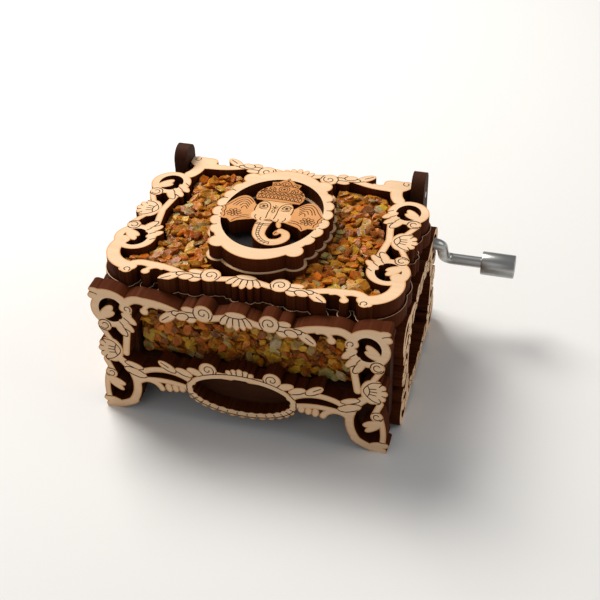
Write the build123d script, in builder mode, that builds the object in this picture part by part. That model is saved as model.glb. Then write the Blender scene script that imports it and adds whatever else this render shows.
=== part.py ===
"""Hand-cranked music box of layered plywood with amber beds, and its cylinder movement.

Millimetres. X runs along the front, Y towards the back, Z up. The origin is on the table,
in the middle of the box. The front face of the front fretwork is at y = -BOX_D / 2.
"""
import math
import os

from build123d import *

os.makedirs("parts", exist_ok=True)

# ---- driving dimensions -------------------------------------------------------------
FRONT_W = 73.0          # front fretwork, between the outer bars of its columns
BOX_D = 60.0            # front fretwork face to the back edge of the lid
PLY = 4.0               # decorative layers
WALL = 3.5              # inner walls and base
SIDE_STEP = 2.2         # side walls inside the front's outer bars
BACK_STEP = 3.4         # back wall's face inside the lid's back edge
FOOT_CUT = 0.5          # round undersides cut flat to stand on
WALL_TOP = 32.2         # top of the side walls and of the front wall
BACK_DROP = 0.6         # the back stays lower, clear of the swinging lid
BASE_Z = 6.0            # underside of the base board
FRONT_TOP = 37.0        # line of the front fretwork's top rail
LID_GAP = 0.2           # closed lid over the walls
LID_OVERHANG = 0.5      # lid's border outside the front's outer bars
LID_EDGE = 0.7          # the lid board's edge outside its border
LID_FRONT_GAP = 0.4     # lid board behind the front fretwork
LID_FRONT_EDGE = 0.5    # the lid board's front edge before its border
MEDALLION_T = 3.8       # upper ring of the medallion
MEDALLION_SIDE = 23.9   # its opening inside the front's outer bars
MEDALLION_END = 14.3    # its opening inside the lid's back edge
MEDALLION_Y = 2.0       # its centre
RING_BAND = 2.4         # its band
RIM_STEP = 0.8          # lower rim outside the upper ring
CHIP_BED = 1.1          # amber bed under its flakes
FLAKE_RISE = 1.3        # big amber flakes over the bed
FLAKE_R = 2.5
FLAKE_PITCH = 5.5
FLAKE_TAPER = 35.0      # degrees
CHIP_MARGIN = 0.6       # bed inside its window
EAR_R = 3.5             # rounded hinge ear
EAR_RISE = 2.7          # ear centre above the pin
PIN_R = 0.8             # hinge pin
PIN_STEP = 2.2          # hinge axis inside the lid's back edge
RUN = 0.05              # running clearance of pins and shafts
LID_SIDE_GAP = 0.4      # lid beside the ears
SHAFT_STEP = 3.1        # crank axis before the back wall
SHAFT_Z = 29.0
ROD_R = 1.5             # crank wire
ARM_LENGTH = 11.3
ARM_ANGLE = -53.0       # resting direction of the arm, from +Y towards +Z
ARM_CLEAR = 0.6         # arm outside the side fretwork
BEND_R = 2.6            # bend of the wire at its middle
KNOB_R = 3.15
KNOB_LENGTH = 8.9
HANDLE_LENGTH = 10.2    # arm to knob
KNOB_WALL = 1.2         # closed end of the knob
CRANK_HOLE_R = 2.3
MODULE = 0.6            # worm drive
WHEEL_TEETH = 20
WORM_PITCH_R = 2.2
WHEEL_FACE = 3.0
JOURNAL_R = 1.0
DRUM_R = 6.5
DRUM_LENGTH = 23.0
DRUM_X = 10.0
DRUM_STEP = 17.0        # middle of the drum before the crank axis
PIN_HEIGHT = 0.8
COMB_TEETH = 18
COMB_T = 1.0
COMB_TIP_GAP = 0.3
BED_T = 2.5
BED_W = 52.0
BED_D = 36.0
BRACKET_T = 1.6
SCREW_R = 1.1
SMALL_SCREW_R = 0.6
COMB_BASE = 9.0         # solid end of the comb
LONG_TOOTH = 17.0
SHORT_TOOTH = 11.0
COMB_SLOT = 0.35
PINS_PER_NOTE = 4
CRANK_BRACKET_X = 1.0   # inner crank bracket
CRANK_BRACKET_GAP = 15.8
SOCKET_R = 2.2
SOCKET_LENGTH = 8.2
END_PLAY = 0.3
COLUMN_U = 5.0          # column centre inside the outer edge
RING_R = 5.3            # corner ring
RING_V = 4.9            # ring centre under the top line
SHELL_V = 17.6          # shell centre under the top line
OVAL_V = 10.9           # centre of the front's oval
OVAL_RX = 12.7
OVAL_RZ = 5.2
OVAL_BAND = 1.5
OVAL_BEADS = 7
SCALLOPS = 6            # on each side of the medallion
SCALLOP_R = 2.5
SCALLOP_SPAN = 63.0     # degrees
CROWN_LIFT = 1.5        # headdress over its drawing's own centre
RAIL_REACH = 27.9       # length of half a rail at its natural size
WALL_FOOT = 4.2         # inner walls start above the table
WINDOW_STEP = 9.1       # amber window inside the front's outer bars
WINDOW_LOW = 15.6
WINDOW_TOP = 30.6
SPACER_FOOT_Z = 7.2     # the spacer's underside between its feet
GROUND_STEP = 0.8       # the rim reaches this far under the ring's opening
LID_FLAKE_MIN_U = 9.0   # nearer the middle the medallion covers the bed
BRACKET_FOOT = 2.5
BRACKET_W = 10.0
CRANK_BRACKET_W = 5.2
CAP_T = 1.5
TUBE_WALL = 0.8
NOTE_PIN_R = 0.22
WORM_TURNS = 5
SOCKET_DEPTH = 6.0

# ---- derived places -----------------------------------------------------------------
HALF = FRONT_W / 2
INNER_W = FRONT_W - 2 * (SIDE_STEP + WALL)
INNER_D = BOX_D - BACK_STEP - 2 * (PLY + WALL)
FRONT_Y = -BOX_D / 2
SPACER_Y = FRONT_Y + PLY
FRONT_WALL_Y = SPACER_Y + PLY
INNER_FRONT_Y = FRONT_WALL_Y + WALL
INNER_BACK_Y = INNER_FRONT_Y + INNER_D
BACK_FACE_Y = INNER_BACK_Y + WALL
PIN_Y = BOX_D / 2 - PIN_STEP
SHAFT_Y = INNER_BACK_Y - SHAFT_STEP
DRUM_MID_Y = SHAFT_Y - DRUM_STEP
MEDALLION_RX = HALF - MEDALLION_SIDE
MEDALLION_RY = BOX_D / 2 - MEDALLION_END
LID_HALF_W = HALF + LID_OVERHANG
SIDE_X = INNER_W / 2
SIDE_OUT_X = SIDE_X + WALL
SIDE_LENGTH = BACK_FACE_Y - FRONT_WALL_Y
SIDE_MID_Y = (BACK_FACE_Y + FRONT_WALL_Y) / 2
BACK_TOP = WALL_TOP - BACK_DROP
BASE_TOP = BASE_Z + WALL
LID_Z = WALL_TOP + LID_GAP
BORDER_Z = LID_Z + PLY
BORDER_TOP = BORDER_Z + PLY
PIN_Z = BORDER_Z + 0.55 * PLY
EAR_Z = PIN_Z + EAR_RISE
LID_INNER_X = SIDE_X - LID_SIDE_GAP
LID_WING_Y = PIN_Y - EAR_R - EAR_RISE - LID_SIDE_GAP
LID_FRONT_Y = FRONT_Y + PLY + LID_FRONT_GAP
FRONT_RAIL_Y = LID_FRONT_Y + LID_FRONT_EDGE + 5.3
BACK_RAIL_Y = BOX_D / 2 - 5.4
LID_MID_Y = (FRONT_RAIL_Y + BACK_RAIL_Y) / 2
LID_RING_Y = (BACK_RAIL_Y - FRONT_RAIL_Y) / 2 - 9.2
BED_TOP = BASE_TOP + BED_T
WHEEL_PITCH_R = MODULE * WHEEL_TEETH / 2
DRUM_Z = SHAFT_Z - WORM_PITCH_R - WHEEL_PITCH_R
WORM_LEAD = math.pi * MODULE
BED_MID_Y = INNER_BACK_Y - BED_D / 2 - 0.5
BED_SCREW_SPOTS = [(side * (BED_W / 2 - 3.2), BED_MID_Y + end * (BED_D / 2 - 3.2))
                   for side in (-1, 1) for end in (-1, 1)]
WINDOW_HALF = HALF - WINDOW_STEP
BED_HALF = WINDOW_HALF - CHIP_MARGIN
PIN_INNER_X = LID_INNER_X - 4.0
BOARD_HALF = LID_HALF_W + LID_EDGE
BOARD_BACK = BOX_D / 2 - 0.2
LID_BED_HALF_W = LID_HALF_W - 11.4
LID_BED_FRONT = LID_FRONT_Y + 6.8
LID_BED_BACK = BOX_D / 2 - 7.0
COMB_TIP_X = DRUM_X - DRUM_R - PIN_HEIGHT - COMB_TIP_GAP
COMB_START_X = COMB_TIP_X - LONG_TOOTH - COMB_BASE
COMB_Z = DRUM_Z - COMB_T / 2
COMB_W = DRUM_LENGTH - 2.0
BLOCK_LENGTH = COMB_BASE - 0.6
COMB_SCREW_SPOTS = [(COMB_START_X + BLOCK_LENGTH / 2, DRUM_MID_Y + step) for step in (-6, 6)]
DRUM_FRONT_Y = DRUM_MID_Y - DRUM_LENGTH / 2
DRUM_BACK_Y = DRUM_MID_Y + DRUM_LENGTH / 2
FRONT_BRACKET_Y = DRUM_FRONT_Y - 2 * END_PLAY - BRACKET_T
REAR_BRACKET_Y = DRUM_BACK_Y + 2 * END_PLAY
CRANK_BRACKET_Y = SHAFT_Y - 1.1
OUTER_BRACKET_X = CRANK_BRACKET_X + BRACKET_T + CRANK_BRACKET_GAP
CYLINDER_SCREW_SPOTS = [(DRUM_X + side * 3.4, y) for side in (-1, 1)
                        for y in (FRONT_BRACKET_Y - BRACKET_FOOT / 2,
                                  REAR_BRACKET_Y + BRACKET_T + BRACKET_FOOT / 2)]
CRANK_SCREW_SPOTS = [(x, CRANK_BRACKET_Y + end * 1.3) for end in (-1, 1)
                     for x in (CRANK_BRACKET_X - BRACKET_FOOT / 2,
                               OUTER_BRACKET_X + BRACKET_T + BRACKET_FOOT / 2)]
ARBOR_START_Y = FRONT_BRACKET_Y - 0.5
ARBOR_END_Y = SHAFT_Y + WHEEL_FACE / 2 + 0.3
WHEEL_TIP_R = WHEEL_PITCH_R + 0.85 * MODULE
WHEEL_ROOT_R = WHEEL_PITCH_R - 1.3 * MODULE
WHEEL_TWIST = math.degrees(WHEEL_FACE * WORM_LEAD / (2 * math.pi * WORM_PITCH_R) / WHEEL_PITCH_R)
WORM_ROOT_R = WORM_PITCH_R - 1.25 * MODULE
WORM_TIP_R = WORM_PITCH_R + 0.9 * MODULE
WORM_START_X = DRUM_X - WORM_TURNS * WORM_LEAD / 2
HUB_START_X = CRANK_BRACKET_X + BRACKET_T + END_PLAY
HUB_END_X = OUTER_BRACKET_X - END_PLAY
SOCKET_X = OUTER_BRACKET_X + BRACKET_T + END_PLAY
AXIS = Plane(origin=(0, SHAFT_Y, SHAFT_Z), x_dir=(0, 1, 0), z_dir=(1, 0, 0))
ARM_X = SIDE_OUT_X + PLY + ARM_CLEAR + ROD_R
HANDLE_Y = SHAFT_Y + ARM_LENGTH * math.cos(math.radians(ARM_ANGLE))
HANDLE_Z = SHAFT_Z + ARM_LENGTH * math.sin(math.radians(ARM_ANGLE))
ROD_START_X = SOCKET_X + SOCKET_LENGTH - SOCKET_DEPTH
KNOB_X = ARM_X + HANDLE_LENGTH
ROD_END_X = KNOB_X + KNOB_LENGTH - KNOB_WALL - END_PLAY


# ---- ornament in the flat -----------------------------------------------------------
class Spot:
    """A local sheet frame: an anchor, and the directions in which its ornament runs."""

    def __init__(self, u, v, du=1.0, dv=1.0):
        self.u, self.v, self.du, self.dv = u, v, du, dv

    def at(self, point):
        return (self.u + self.du * point[0], self.v + self.dv * point[1])


def ball(spot, centre, radius):
    """A round curl end."""
    return [Pos(*spot.at(centre)) * Circle(radius)]


def between(spot, start, end):
    """Place, length and turn of something that runs from start to end."""
    (u0, v0), (u1, v1) = spot.at(start), spot.at(end)
    turn = math.degrees(math.atan2(v1 - v0, u1 - u0))
    return Pos((u0 + u1) / 2, (v0 + v1) / 2) * Rot(0, 0, turn), math.hypot(u1 - u0, v1 - v0)


def petal(spot, root, tip, width):
    """A leaf or petal between two points."""
    place, length = between(spot, root, tip)
    return [place * Ellipse(length / 2, width / 2)]


def bar(spot, start, end, width):
    """A straight round-ended bar."""
    place, length = between(spot, start, end)
    return [place * SlotCenterToCenter(length, width)]


def bow(spot, start, middle, end, width):
    """A curved round-ended band through three points."""
    return [SlotArc(ThreePointArc(spot.at(start), spot.at(middle), spot.at(end)), width)]


def ring_scroll(spot):
    """Corner ring with its heart curl, its finger leaves and the small spiral under it."""
    place = Pos(*spot.at((0, 0)))
    return [
        place * (Circle(RING_R) - Ellipse(RING_R - 2.2, RING_R - 1.8)),
        *ball(spot, (-0.3, 0.5), 1.1),
        *ball(spot, (-0.1, -1.1), 0.95),
        *bar(spot, (-0.6, -0.3), (-3.0, -2.4), 1.8),
        *petal(spot, (2.6, -0.4), (6.1, -3.6), 2.1),
        *petal(spot, (1.8, -2.6), (5.2, -6.0), 2.2),
        *petal(spot, (0.6, -3.6), (3.4, -7.7), 2.2),
        *ball(spot, (-2.3, -5.0), 1.8),
    ]


def column_waist(spot, length):
    """From the fingers to the shell: a bar on each side of a small hole."""
    return [
        *bar(spot, (-3.2, -5.8), (-0.9, -length + 2.6), 1.5),
        *bow(spot, (3.4, -6.0), (2.9, -length * 0.72), (2.3, -length - 0.4), 1.8),
    ]


def side_shell(spot):
    """Fan at the middle of a column, its petals outwards."""
    shapes = [Pos(*spot.at((0.3, 0))) * Ellipse(2.8, 3.8)]
    for angle in (112, 145, 180, 215, 248):
        tip = (3.5 * math.cos(math.radians(angle)), 4.0 * math.sin(math.radians(angle)))
        shapes += petal(spot, (tip[0] * 0.2, tip[1] * 0.2), tip, 2.2)
    return shapes


def scroll_rail(spot, reach):
    """Half a rail, from the middle outwards: shell side, spiral, lobes, leaf and C-scroll.

    The rail's crest is up, its curls and petals hang down, and reach stretches it.
    """
    def out(u, v):
        return (u * reach, v)

    return [
        *petal(spot, out(0.0, -0.8), out(0.0, -5.3), 1.9),
        *petal(spot, out(0.7, -0.9), out(2.0, -4.9), 1.9),
        *petal(spot, out(1.4, -0.9), out(3.8, -4.0), 2.0),
        *petal(spot, out(-2.4, -0.8), out(2.9, -0.8), 2.0),
        *bar(spot, out(1.6, -1.6), out(6.0, -2.8), 1.9),
        *ball(spot, out(8.1, -1.8), 2.5),
        *petal(spot, out(9.8, -1.4), out(13.4, -1.1), 2.0),
        *bar(spot, out(9.0, -2.6), out(15.2, -2.8), 1.7),
        *petal(spot, out(9.8, -3.4), out(12.4, -4.6), 2.2),
        *petal(spot, out(11.6, -3.2), out(15.0, -4.0), 2.4),
        *petal(spot, out(14.8, -2.6), out(19.2, -6.1), 2.7),
        *bow(spot, out(14.8, -2.6), out(19.4, -1.1), out(25.0, -0.8), 2.1),
        *bow(spot, out(22.6, -1.1), out(26.6, -1.4), out(28.2, -3.9), 2.3),
        *bow(spot, out(19.6, -1.9), out(22.2, -2.2), out(22.9, -3.7), 1.3),
        *ball(spot, out(22.9, -3.8), 1.1),
        *ball(spot, out(27.4, -4.0), 1.4),
    ]


def foot_column(spot, height):
    """Lower half of a front column: tall hole with its curl, small spiral and the foot."""
    low = -height
    shapes = [
        *bar(spot, (-1.8, -3.4), (-0.6, -6.6), 1.6),
        *ball(spot, (-1.0, -7.8), 1.6),
        *bow(spot, (-2.0, -8.6), (-2.6, -12.0), (-2.4, low + 2.4), 1.5),
        *bar(spot, (-2.2, -9.6), (0.6, -11.5), 1.7),
        *ball(spot, (1.4, -10.8), 1.1),
        *ball(spot, (0.9, -12.4), 1.0),
        *bow(spot, (2.0, -2.6), (5.7, -11.0), (3.6, low + 3.3), 2.2),
        *bow(spot, (4.4, low + 4.0), (1.8, low + 2.4), (-2.6, low + 1.1), 2.2),
        *petal(spot, (1.0, low + 2.2), (-4.2, low + 3.2), 2.4),
        *petal(spot, (2.8, -5.2), (8.6, -7.4), 2.6),
        *petal(spot, (3.0, -3.2), (8.0, -4.9), 1.9),
    ]
    return shapes


def oval_rail(spot, reach, oval_u, oval_v):
    """Half of the front's bottom rail, from the middle outwards, beside the oval frame."""
    def out(u, v):
        return (u * reach, v)

    top = oval_v + OVAL_BAND
    shapes = [
        *petal(spot, (0.0, top - 0.8), (0.0, top + 2.1), 2.0),
        *petal(spot, (0.5, top - 1.0), (1.9, top + 1.7), 1.9),
        *petal(spot, (1.0, top - 1.0), (3.5, top + 1.0), 1.9),
        *bar(spot, out(2.4, top - 1.0), out(6.0, top - 0.9), 1.9),
        *ball(spot, out(8.1, top + 0.1), 2.3),
        *petal(spot, out(9.4, top - 1.9), out(13.6, top - 0.5), 2.2),
        *petal(spot, out(12.2, top - 2.8), out(16.6, top - 1.1), 2.2),
        *bow(spot, out(12.4, 2.0), out(20.0, 4.4), out(28.0, 0.8), 1.7),
        *bow(spot, out(13.2, -0.3), out(19.5, 0.8), out(27.4, -0.4), 1.6),
        *bow(spot, out(27.6, -2.2), out(24.0, 0.4), out(20.7, -1.9), 1.7),
        *petal(spot, out(16.4, 4.2), out(20.9, 7.2), 2.4),
    ]
    for step in range(3):
        shapes += petal(spot, out(15.5 + 1.8 * step, 0.3), out(15.2 + 1.7 * step, -2.0 - 0.3 * step),
                        1.9)
    for bead in range(OVAL_BEADS):
        angle = math.radians(-90 + 66 * bead / (OVAL_BEADS - 1))
        shapes += ball(spot, ((oval_u + 0.9) * math.cos(angle), (oval_v + 0.9) * math.sin(angle)),
                       1.15)
    return shapes


def front_ornament():
    """The front fretwork's face, in its own X and Z."""
    reach = (HALF - 8.6) / RAIL_REACH
    shapes = [Pos(0, OVAL_V) * (Ellipse(OVAL_RX + OVAL_BAND, OVAL_RZ + OVAL_BAND)
                                - Ellipse(OVAL_RX, OVAL_RZ))]
    for side in (-1, 1):
        ring = Spot(side * (HALF - COLUMN_U), FRONT_TOP - RING_V, -side)
        shell = Spot(side * (HALF - COLUMN_U + 1.5), FRONT_TOP - SHELL_V, -side)
        shapes += [
            *ring_scroll(ring),
            *column_waist(ring, SHELL_V - RING_V),
            *bow(ring, (-4.1, 4.2), (-0.2, 5.0), (3.4, 3.2), 2.2),
            *petal(ring, (-1.6, 4.4), (-5.6, 3.4), 2.6),
            *petal(ring, (-1.8, 4.8), (-5.2, 5.6), 1.9),
            *side_shell(shell),
            *foot_column(shell, FRONT_TOP - SHELL_V + FOOT_CUT),
            *scroll_rail(Spot(0, FRONT_TOP, side), reach),
            *oval_rail(Spot(0, OVAL_V, side), reach, OVAL_RX, OVAL_RZ),
        ]
    return shapes


def panel_ornament(middle, half, height):
    """Face of a side or back fretwork: a ring in each corner and a rail along both edges."""
    reach = (half - 7.4) / RAIL_REACH
    shapes = []
    for side in (-1, 1):
        column = middle + side * (half - RING_R)
        upper = Spot(column, height - RING_R, -side)
        lower = Spot(column, RING_R - FOOT_CUT, -side, -1)
        shapes += [
            *ring_scroll(upper),
            *ring_scroll(lower),
            *bow(upper, (3.6, -5.2), (2.6, RING_R - height / 2), (3.6, 2 * RING_R + 5.2 - height),
                 1.8),
            *side_shell(Spot(column + side * 1.2, height / 2, -side, 0.8)),
            *scroll_rail(Spot(middle, height - 1.2, side), reach),
            *scroll_rail(Spot(middle, 1.2, side, -0.9), reach),
        ]
    return shapes


def stand_flat(reach):
    """Cut everything under the table line away."""
    with Locations((0, -FRONT_TOP / 2)):
        Rectangle(reach, FRONT_TOP, mode=Mode.SUBTRACT)


def lid_ornament():
    """The lid's border with the medallion's lower rim, in X and Y."""
    reach = (LID_HALF_W - 7.4) / RAIL_REACH
    shapes = []
    for side in (-1, 1):
        for end, rail_y in ((-1, FRONT_RAIL_Y), (1, BACK_RAIL_Y)):
            ring = Spot(side * (LID_HALF_W - COLUMN_U), LID_MID_Y + LID_RING_Y * end, -side,
                        end)
            shapes += [
                *ring_scroll(ring),
                *column_waist(ring, LID_RING_Y),
                *scroll_rail(Spot(0, rail_y, side, -end), reach),
            ]
        corner = Spot(side * LID_HALF_W, FRONT_RAIL_Y, -side)
        hinge = Spot(side * LID_INNER_X, PIN_Y, -side)
        shapes += [
            *side_shell(Spot(side * (LID_HALF_W - COLUMN_U + 1.2), LID_MID_Y, -side)),
            *bow(corner, (2.6, 7.6), (2.4, 1.2), (8.4, -2.6), 3.4),
            *bow(hinge, (1.9, -7.4), (3.2, -4.0), (2.6, -0.2), 3.2),
            *bar(hinge, (2.0, 0.1), (5.4, 0.1), 3.8),
        ]
    return shapes


def medallion_outline(grow):
    """The medallion's scalloped outer edge, grown outwards by a step."""
    rx = MEDALLION_RX + RING_BAND
    ry = MEDALLION_RY + RING_BAND + 2.0
    shapes = [Pos(0, MEDALLION_Y) * Ellipse(rx - 0.9 + grow, ry + grow)]
    for side in (-1, 1):
        for step in range(SCALLOPS):
            angle = math.radians(SCALLOP_SPAN * (step / (SCALLOPS - 1) - 0.5))
            place = Pos(side * (rx + 0.1 - SCALLOP_R) * math.cos(angle),
                        MEDALLION_Y + (ry + 0.1 - SCALLOP_R) * math.sin(angle))
            shapes.append(place * Circle(SCALLOP_R + grow))
        for end in (1, -1):
            lobe = Pos(side * (MEDALLION_RX - 3.2), MEDALLION_Y + end * (MEDALLION_RY - 1.1))
            shapes.append(lobe * Circle(2.4 + grow))
    return shapes


def flakes(half_u, low_v, high_v):
    """Six-sided flakes in staggered rows over a bed, each turned its own way."""
    rows = int((high_v - low_v - 2 * FLAKE_R) / FLAKE_PITCH)
    columns = int((2 * half_u - 2 * FLAKE_R) / FLAKE_PITCH)
    shapes = []
    for row in range(rows + 1):
        v = (low_v + high_v) / 2 + (row - rows / 2) * FLAKE_PITCH
        for column in range(columns + 1 - row % 2):
            u = (column - (columns - row % 2) / 2) * FLAKE_PITCH
            turn = 47.0 * column + 31.0 * row
            shapes.append(Pos(u, v) * Rot(0, 0, turn) * RegularPolygon(FLAKE_R, 6))
    return shapes


# ---- outer case ---------------------------------------------------------------------
with BuildPart() as base_board:
    with BuildSketch(Plane.XY.offset(BASE_Z)):
        with Locations((0, (INNER_FRONT_Y + INNER_BACK_Y) / 2)):
            Rectangle(INNER_W, INNER_D)
        with Locations(*BED_SCREW_SPOTS):
            Circle(SCREW_R + RUN, mode=Mode.SUBTRACT)
    extrude(amount=WALL)
base_board.part.label = "base_board"


def side_wall(name, side):
    """Inner side wall whose raised back corner is the lid's hinge ear."""
    inner = side * SIDE_X
    with BuildPart() as wall:
        with BuildSketch(Plane.YZ.offset(inner)):
            with Locations((SIDE_MID_Y, (WALL_FOOT + WALL_TOP) / 2)):
                Rectangle(SIDE_LENGTH, WALL_TOP - WALL_FOOT)
            with Locations((PIN_Y, EAR_Z)):
                Circle(EAR_R)
            with Locations((PIN_Y, (BACK_TOP + 0.4 + EAR_Z) / 2)):
                Rectangle(2 * EAR_R, EAR_Z - BACK_TOP - 0.4)
            with Locations((PIN_Y, PIN_Z)):
                Circle(PIN_R, mode=Mode.SUBTRACT)
            if side > 0:
                with Locations((SHAFT_Y, SHAFT_Z)):
                    Circle(CRANK_HOLE_R, mode=Mode.SUBTRACT)
        extrude(amount=side * WALL)
    wall.part.label = name
    return wall


left_wall = side_wall("left_wall", -1)
right_wall = side_wall("right_wall", 1)


def cross_wall(name, face_y, top):
    """Inner wall between the two side walls, its outer face at face_y."""
    with BuildPart() as wall:
        with BuildSketch(Plane.XZ.offset(-face_y)):
            with Locations((0, (WALL_FOOT + top) / 2)):
                Rectangle(INNER_W, top - WALL_FOOT)
        extrude(amount=-WALL)
    wall.part.label = name
    return wall


front_wall = cross_wall("front_wall", FRONT_WALL_Y, WALL_TOP)
back_wall = cross_wall("back_wall", INNER_BACK_Y, BACK_TOP)


spacer_feet = []
for side in (-1, 1):
    column = Spot(side * (HALF - COLUMN_U), 0, -side)
    spacer_feet += bow(column, (-0.6, 13.0), (-0.2, 8.0), (-0.6, 3.2), 6.4)
    spacer_feet += bow(column, (1.6, 4.4), (0.0, 2.4), (-3.0, 1.0), 3.0)

with BuildPart() as front_spacer:
    with BuildSketch(Plane.XZ.offset(-SPACER_Y)):
        with Locations((0, (WALL_TOP + SPACER_FOOT_Z) / 2)):
            Rectangle(FRONT_W - 0.8, WALL_TOP - SPACER_FOOT_Z)
        add(spacer_feet)
        with Locations((0, OVAL_V)):
            Ellipse(OVAL_RX + OVAL_BAND - 0.3, OVAL_RZ + OVAL_BAND - 0.3)
        with Locations((0, (WINDOW_LOW + WINDOW_TOP) / 2)):
            Rectangle(2 * WINDOW_HALF, WINDOW_TOP - WINDOW_LOW, mode=Mode.SUBTRACT)
        stand_flat(2 * FRONT_W)
    extrude(amount=-PLY)
front_spacer.part.label = "front_spacer"

front_shapes = front_ornament()
with BuildPart() as front_fretwork:
    with BuildSketch(Plane.XZ.offset(-FRONT_Y)):
        add(front_shapes)
        stand_flat(2 * FRONT_W)
    extrude(amount=-PLY)
front_fretwork.part.label = "front_fretwork"

side_shapes = panel_ornament(SIDE_MID_Y, SIDE_LENGTH / 2, WALL_TOP)


def side_fretwork(name, side):
    """Fretwork panel glued on a side wall."""
    with BuildPart() as panel:
        with BuildSketch(Plane.YZ.offset(side * SIDE_OUT_X)):
            add(side_shapes)
            stand_flat(2 * FRONT_W)
            if side > 0:
                with Locations((SHAFT_Y, SHAFT_Z)):
                    Circle(CRANK_HOLE_R, mode=Mode.SUBTRACT)
        extrude(amount=side * PLY)
    panel.part.label = name
    return panel


left_fretwork = side_fretwork("left_fretwork", -1)
right_fretwork = side_fretwork("right_fretwork", 1)

back_shapes = panel_ornament(0, SIDE_OUT_X, BACK_TOP)
with BuildPart() as back_fretwork:
    with BuildSketch(Plane.XZ.offset(-BACK_FACE_Y)):
        add(back_shapes)
        stand_flat(2 * FRONT_W)
    extrude(amount=-PLY)
back_fretwork.part.label = "back_fretwork"


front_flakes = flakes(BED_HALF, WINDOW_LOW + CHIP_MARGIN, WINDOW_TOP - CHIP_MARGIN)
with BuildPart() as front_chips:
    with BuildSketch(Plane.XZ.offset(-FRONT_WALL_Y)):
        with Locations((0, (WINDOW_LOW + WINDOW_TOP) / 2)):
            RectangleRounded(2 * BED_HALF, WINDOW_TOP - WINDOW_LOW - 2 * CHIP_MARGIN, 2.0)
    extrude(amount=CHIP_BED)
    with BuildSketch(Plane.XZ.offset(CHIP_BED - FRONT_WALL_Y)):
        add(front_flakes)
    extrude(amount=FLAKE_RISE, taper=FLAKE_TAPER)
front_chips.part.label = "front_chips"


with BuildPart() as hinge_pins:
    for side in (-1, 1):
        with BuildSketch(Plane.YZ.offset(side * SIDE_OUT_X)):
            with Locations((PIN_Y, PIN_Z)):
                Circle(PIN_R)
        extrude(amount=-side * (SIDE_OUT_X - PIN_INNER_X))
hinge_pins.part.label = "hinge_pins"

# ---- lid ----------------------------------------------------------------------------


def wing_notches():
    """Cut the lid's back corners away around the hinge ears."""
    for side in (-1, 1):
        with Locations((side * (LID_INNER_X + BOX_D / 2), LID_WING_Y + BOX_D / 2)):
            Rectangle(BOX_D, BOX_D, mode=Mode.SUBTRACT)


with BuildPart() as lid_board:
    with BuildSketch(Plane.XY.offset(LID_Z)):
        with Locations((0, (LID_FRONT_Y + BOARD_BACK) / 2)):
            RectangleRounded(2 * BOARD_HALF, BOARD_BACK - LID_FRONT_Y, 5.0)
        wing_notches()
    extrude(amount=PLY)
lid_board.part.label = "lid_board"

border_shapes = lid_ornament()
rim_shapes = medallion_outline(RIM_STEP)

with BuildPart() as lid_border:
    with BuildSketch(Plane.XY.offset(BORDER_Z)):
        add(border_shapes)
        wing_notches()
        with Locations((0, FRONT_Y)):
            Rectangle(2 * BOX_D, 2 * (PLY + LID_FRONT_GAP), mode=Mode.SUBTRACT)
        add(rim_shapes)
        with Locations((0, MEDALLION_Y)):
            Ellipse(MEDALLION_RX - GROUND_STEP, MEDALLION_RY - GROUND_STEP, mode=Mode.SUBTRACT)
    extrude(amount=PLY)
    for side in (-1, 1):
        with BuildSketch(Plane.YZ.offset(side * (PIN_INNER_X - 0.3))):
            with Locations((PIN_Y, PIN_Z)):
                Circle(PIN_R + RUN)
        extrude(amount=side * 10, mode=Mode.SUBTRACT)
lid_border.part.label = "lid_border"

with BuildPart() as medallion_ground:
    with BuildSketch(Plane.XY.offset(BORDER_Z)):
        with Locations((0, MEDALLION_Y)):
            Ellipse(MEDALLION_RX - GROUND_STEP, MEDALLION_RY - GROUND_STEP)
    extrude(amount=PLY)
medallion_ground.part.label = "medallion_ground"

bed_gap_shapes = medallion_outline(RIM_STEP + 0.3)


def lid_bed(side):
    """One side's bed of chips: it stays just inside the border's inner edge."""
    front_ring = LID_MID_Y - LID_RING_Y
    back_ring = LID_MID_Y + LID_RING_Y
    by_front_rail = [(-27.4, 4.8), (-25.8, 0.3), (-22.5, -0.2), (-17.0, 0.4), (-13.0, 0.8),
                     (-9.0, 0.9), (-5.4, 1.3), (-4.4, 3.0), (-7.0, 4.0)]
    by_front_ring = [(-9.6, -3.6), (-10.7, -1.4), (-10.8, 0.6), (-12.0, 2.6), (-12.0, 3.6),
                     (-11.0, 5.8)]
    by_middle = [(-9.9, -6.0), (-9.2, -2.4), (-8.8, 0.0), (-9.2, 3.6), (-9.8, 5.6)]
    by_back_ring = [(-11.0, -5.4), (-12.0, -3.6), (-12.0, -2.6), (-10.8, -1.0), (-10.8, 0.6),
                    (-10.2, 2.8), (-10.2, 3.8), (-11.0, 4.8), (-11.8, 6.6)]
    by_back_rail = [(-12.0, -1.0), (-15.0, -0.7), (-19.0, -0.1), (-21.5, 0.3), (-25.0, -0.4),
                    (-25.6, -6.4), (-25.6, -8.6)]
    runs = ((by_front_rail, FRONT_RAIL_Y), (by_front_ring, front_ring), (by_middle, LID_MID_Y),
            (by_back_ring, back_ring), (by_back_rail, BACK_RAIL_Y))
    corners = [(side * (LID_HALF_W + u), y + v) for run, y in runs for u, v in run]
    return Polygon(*corners, align=None)


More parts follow.
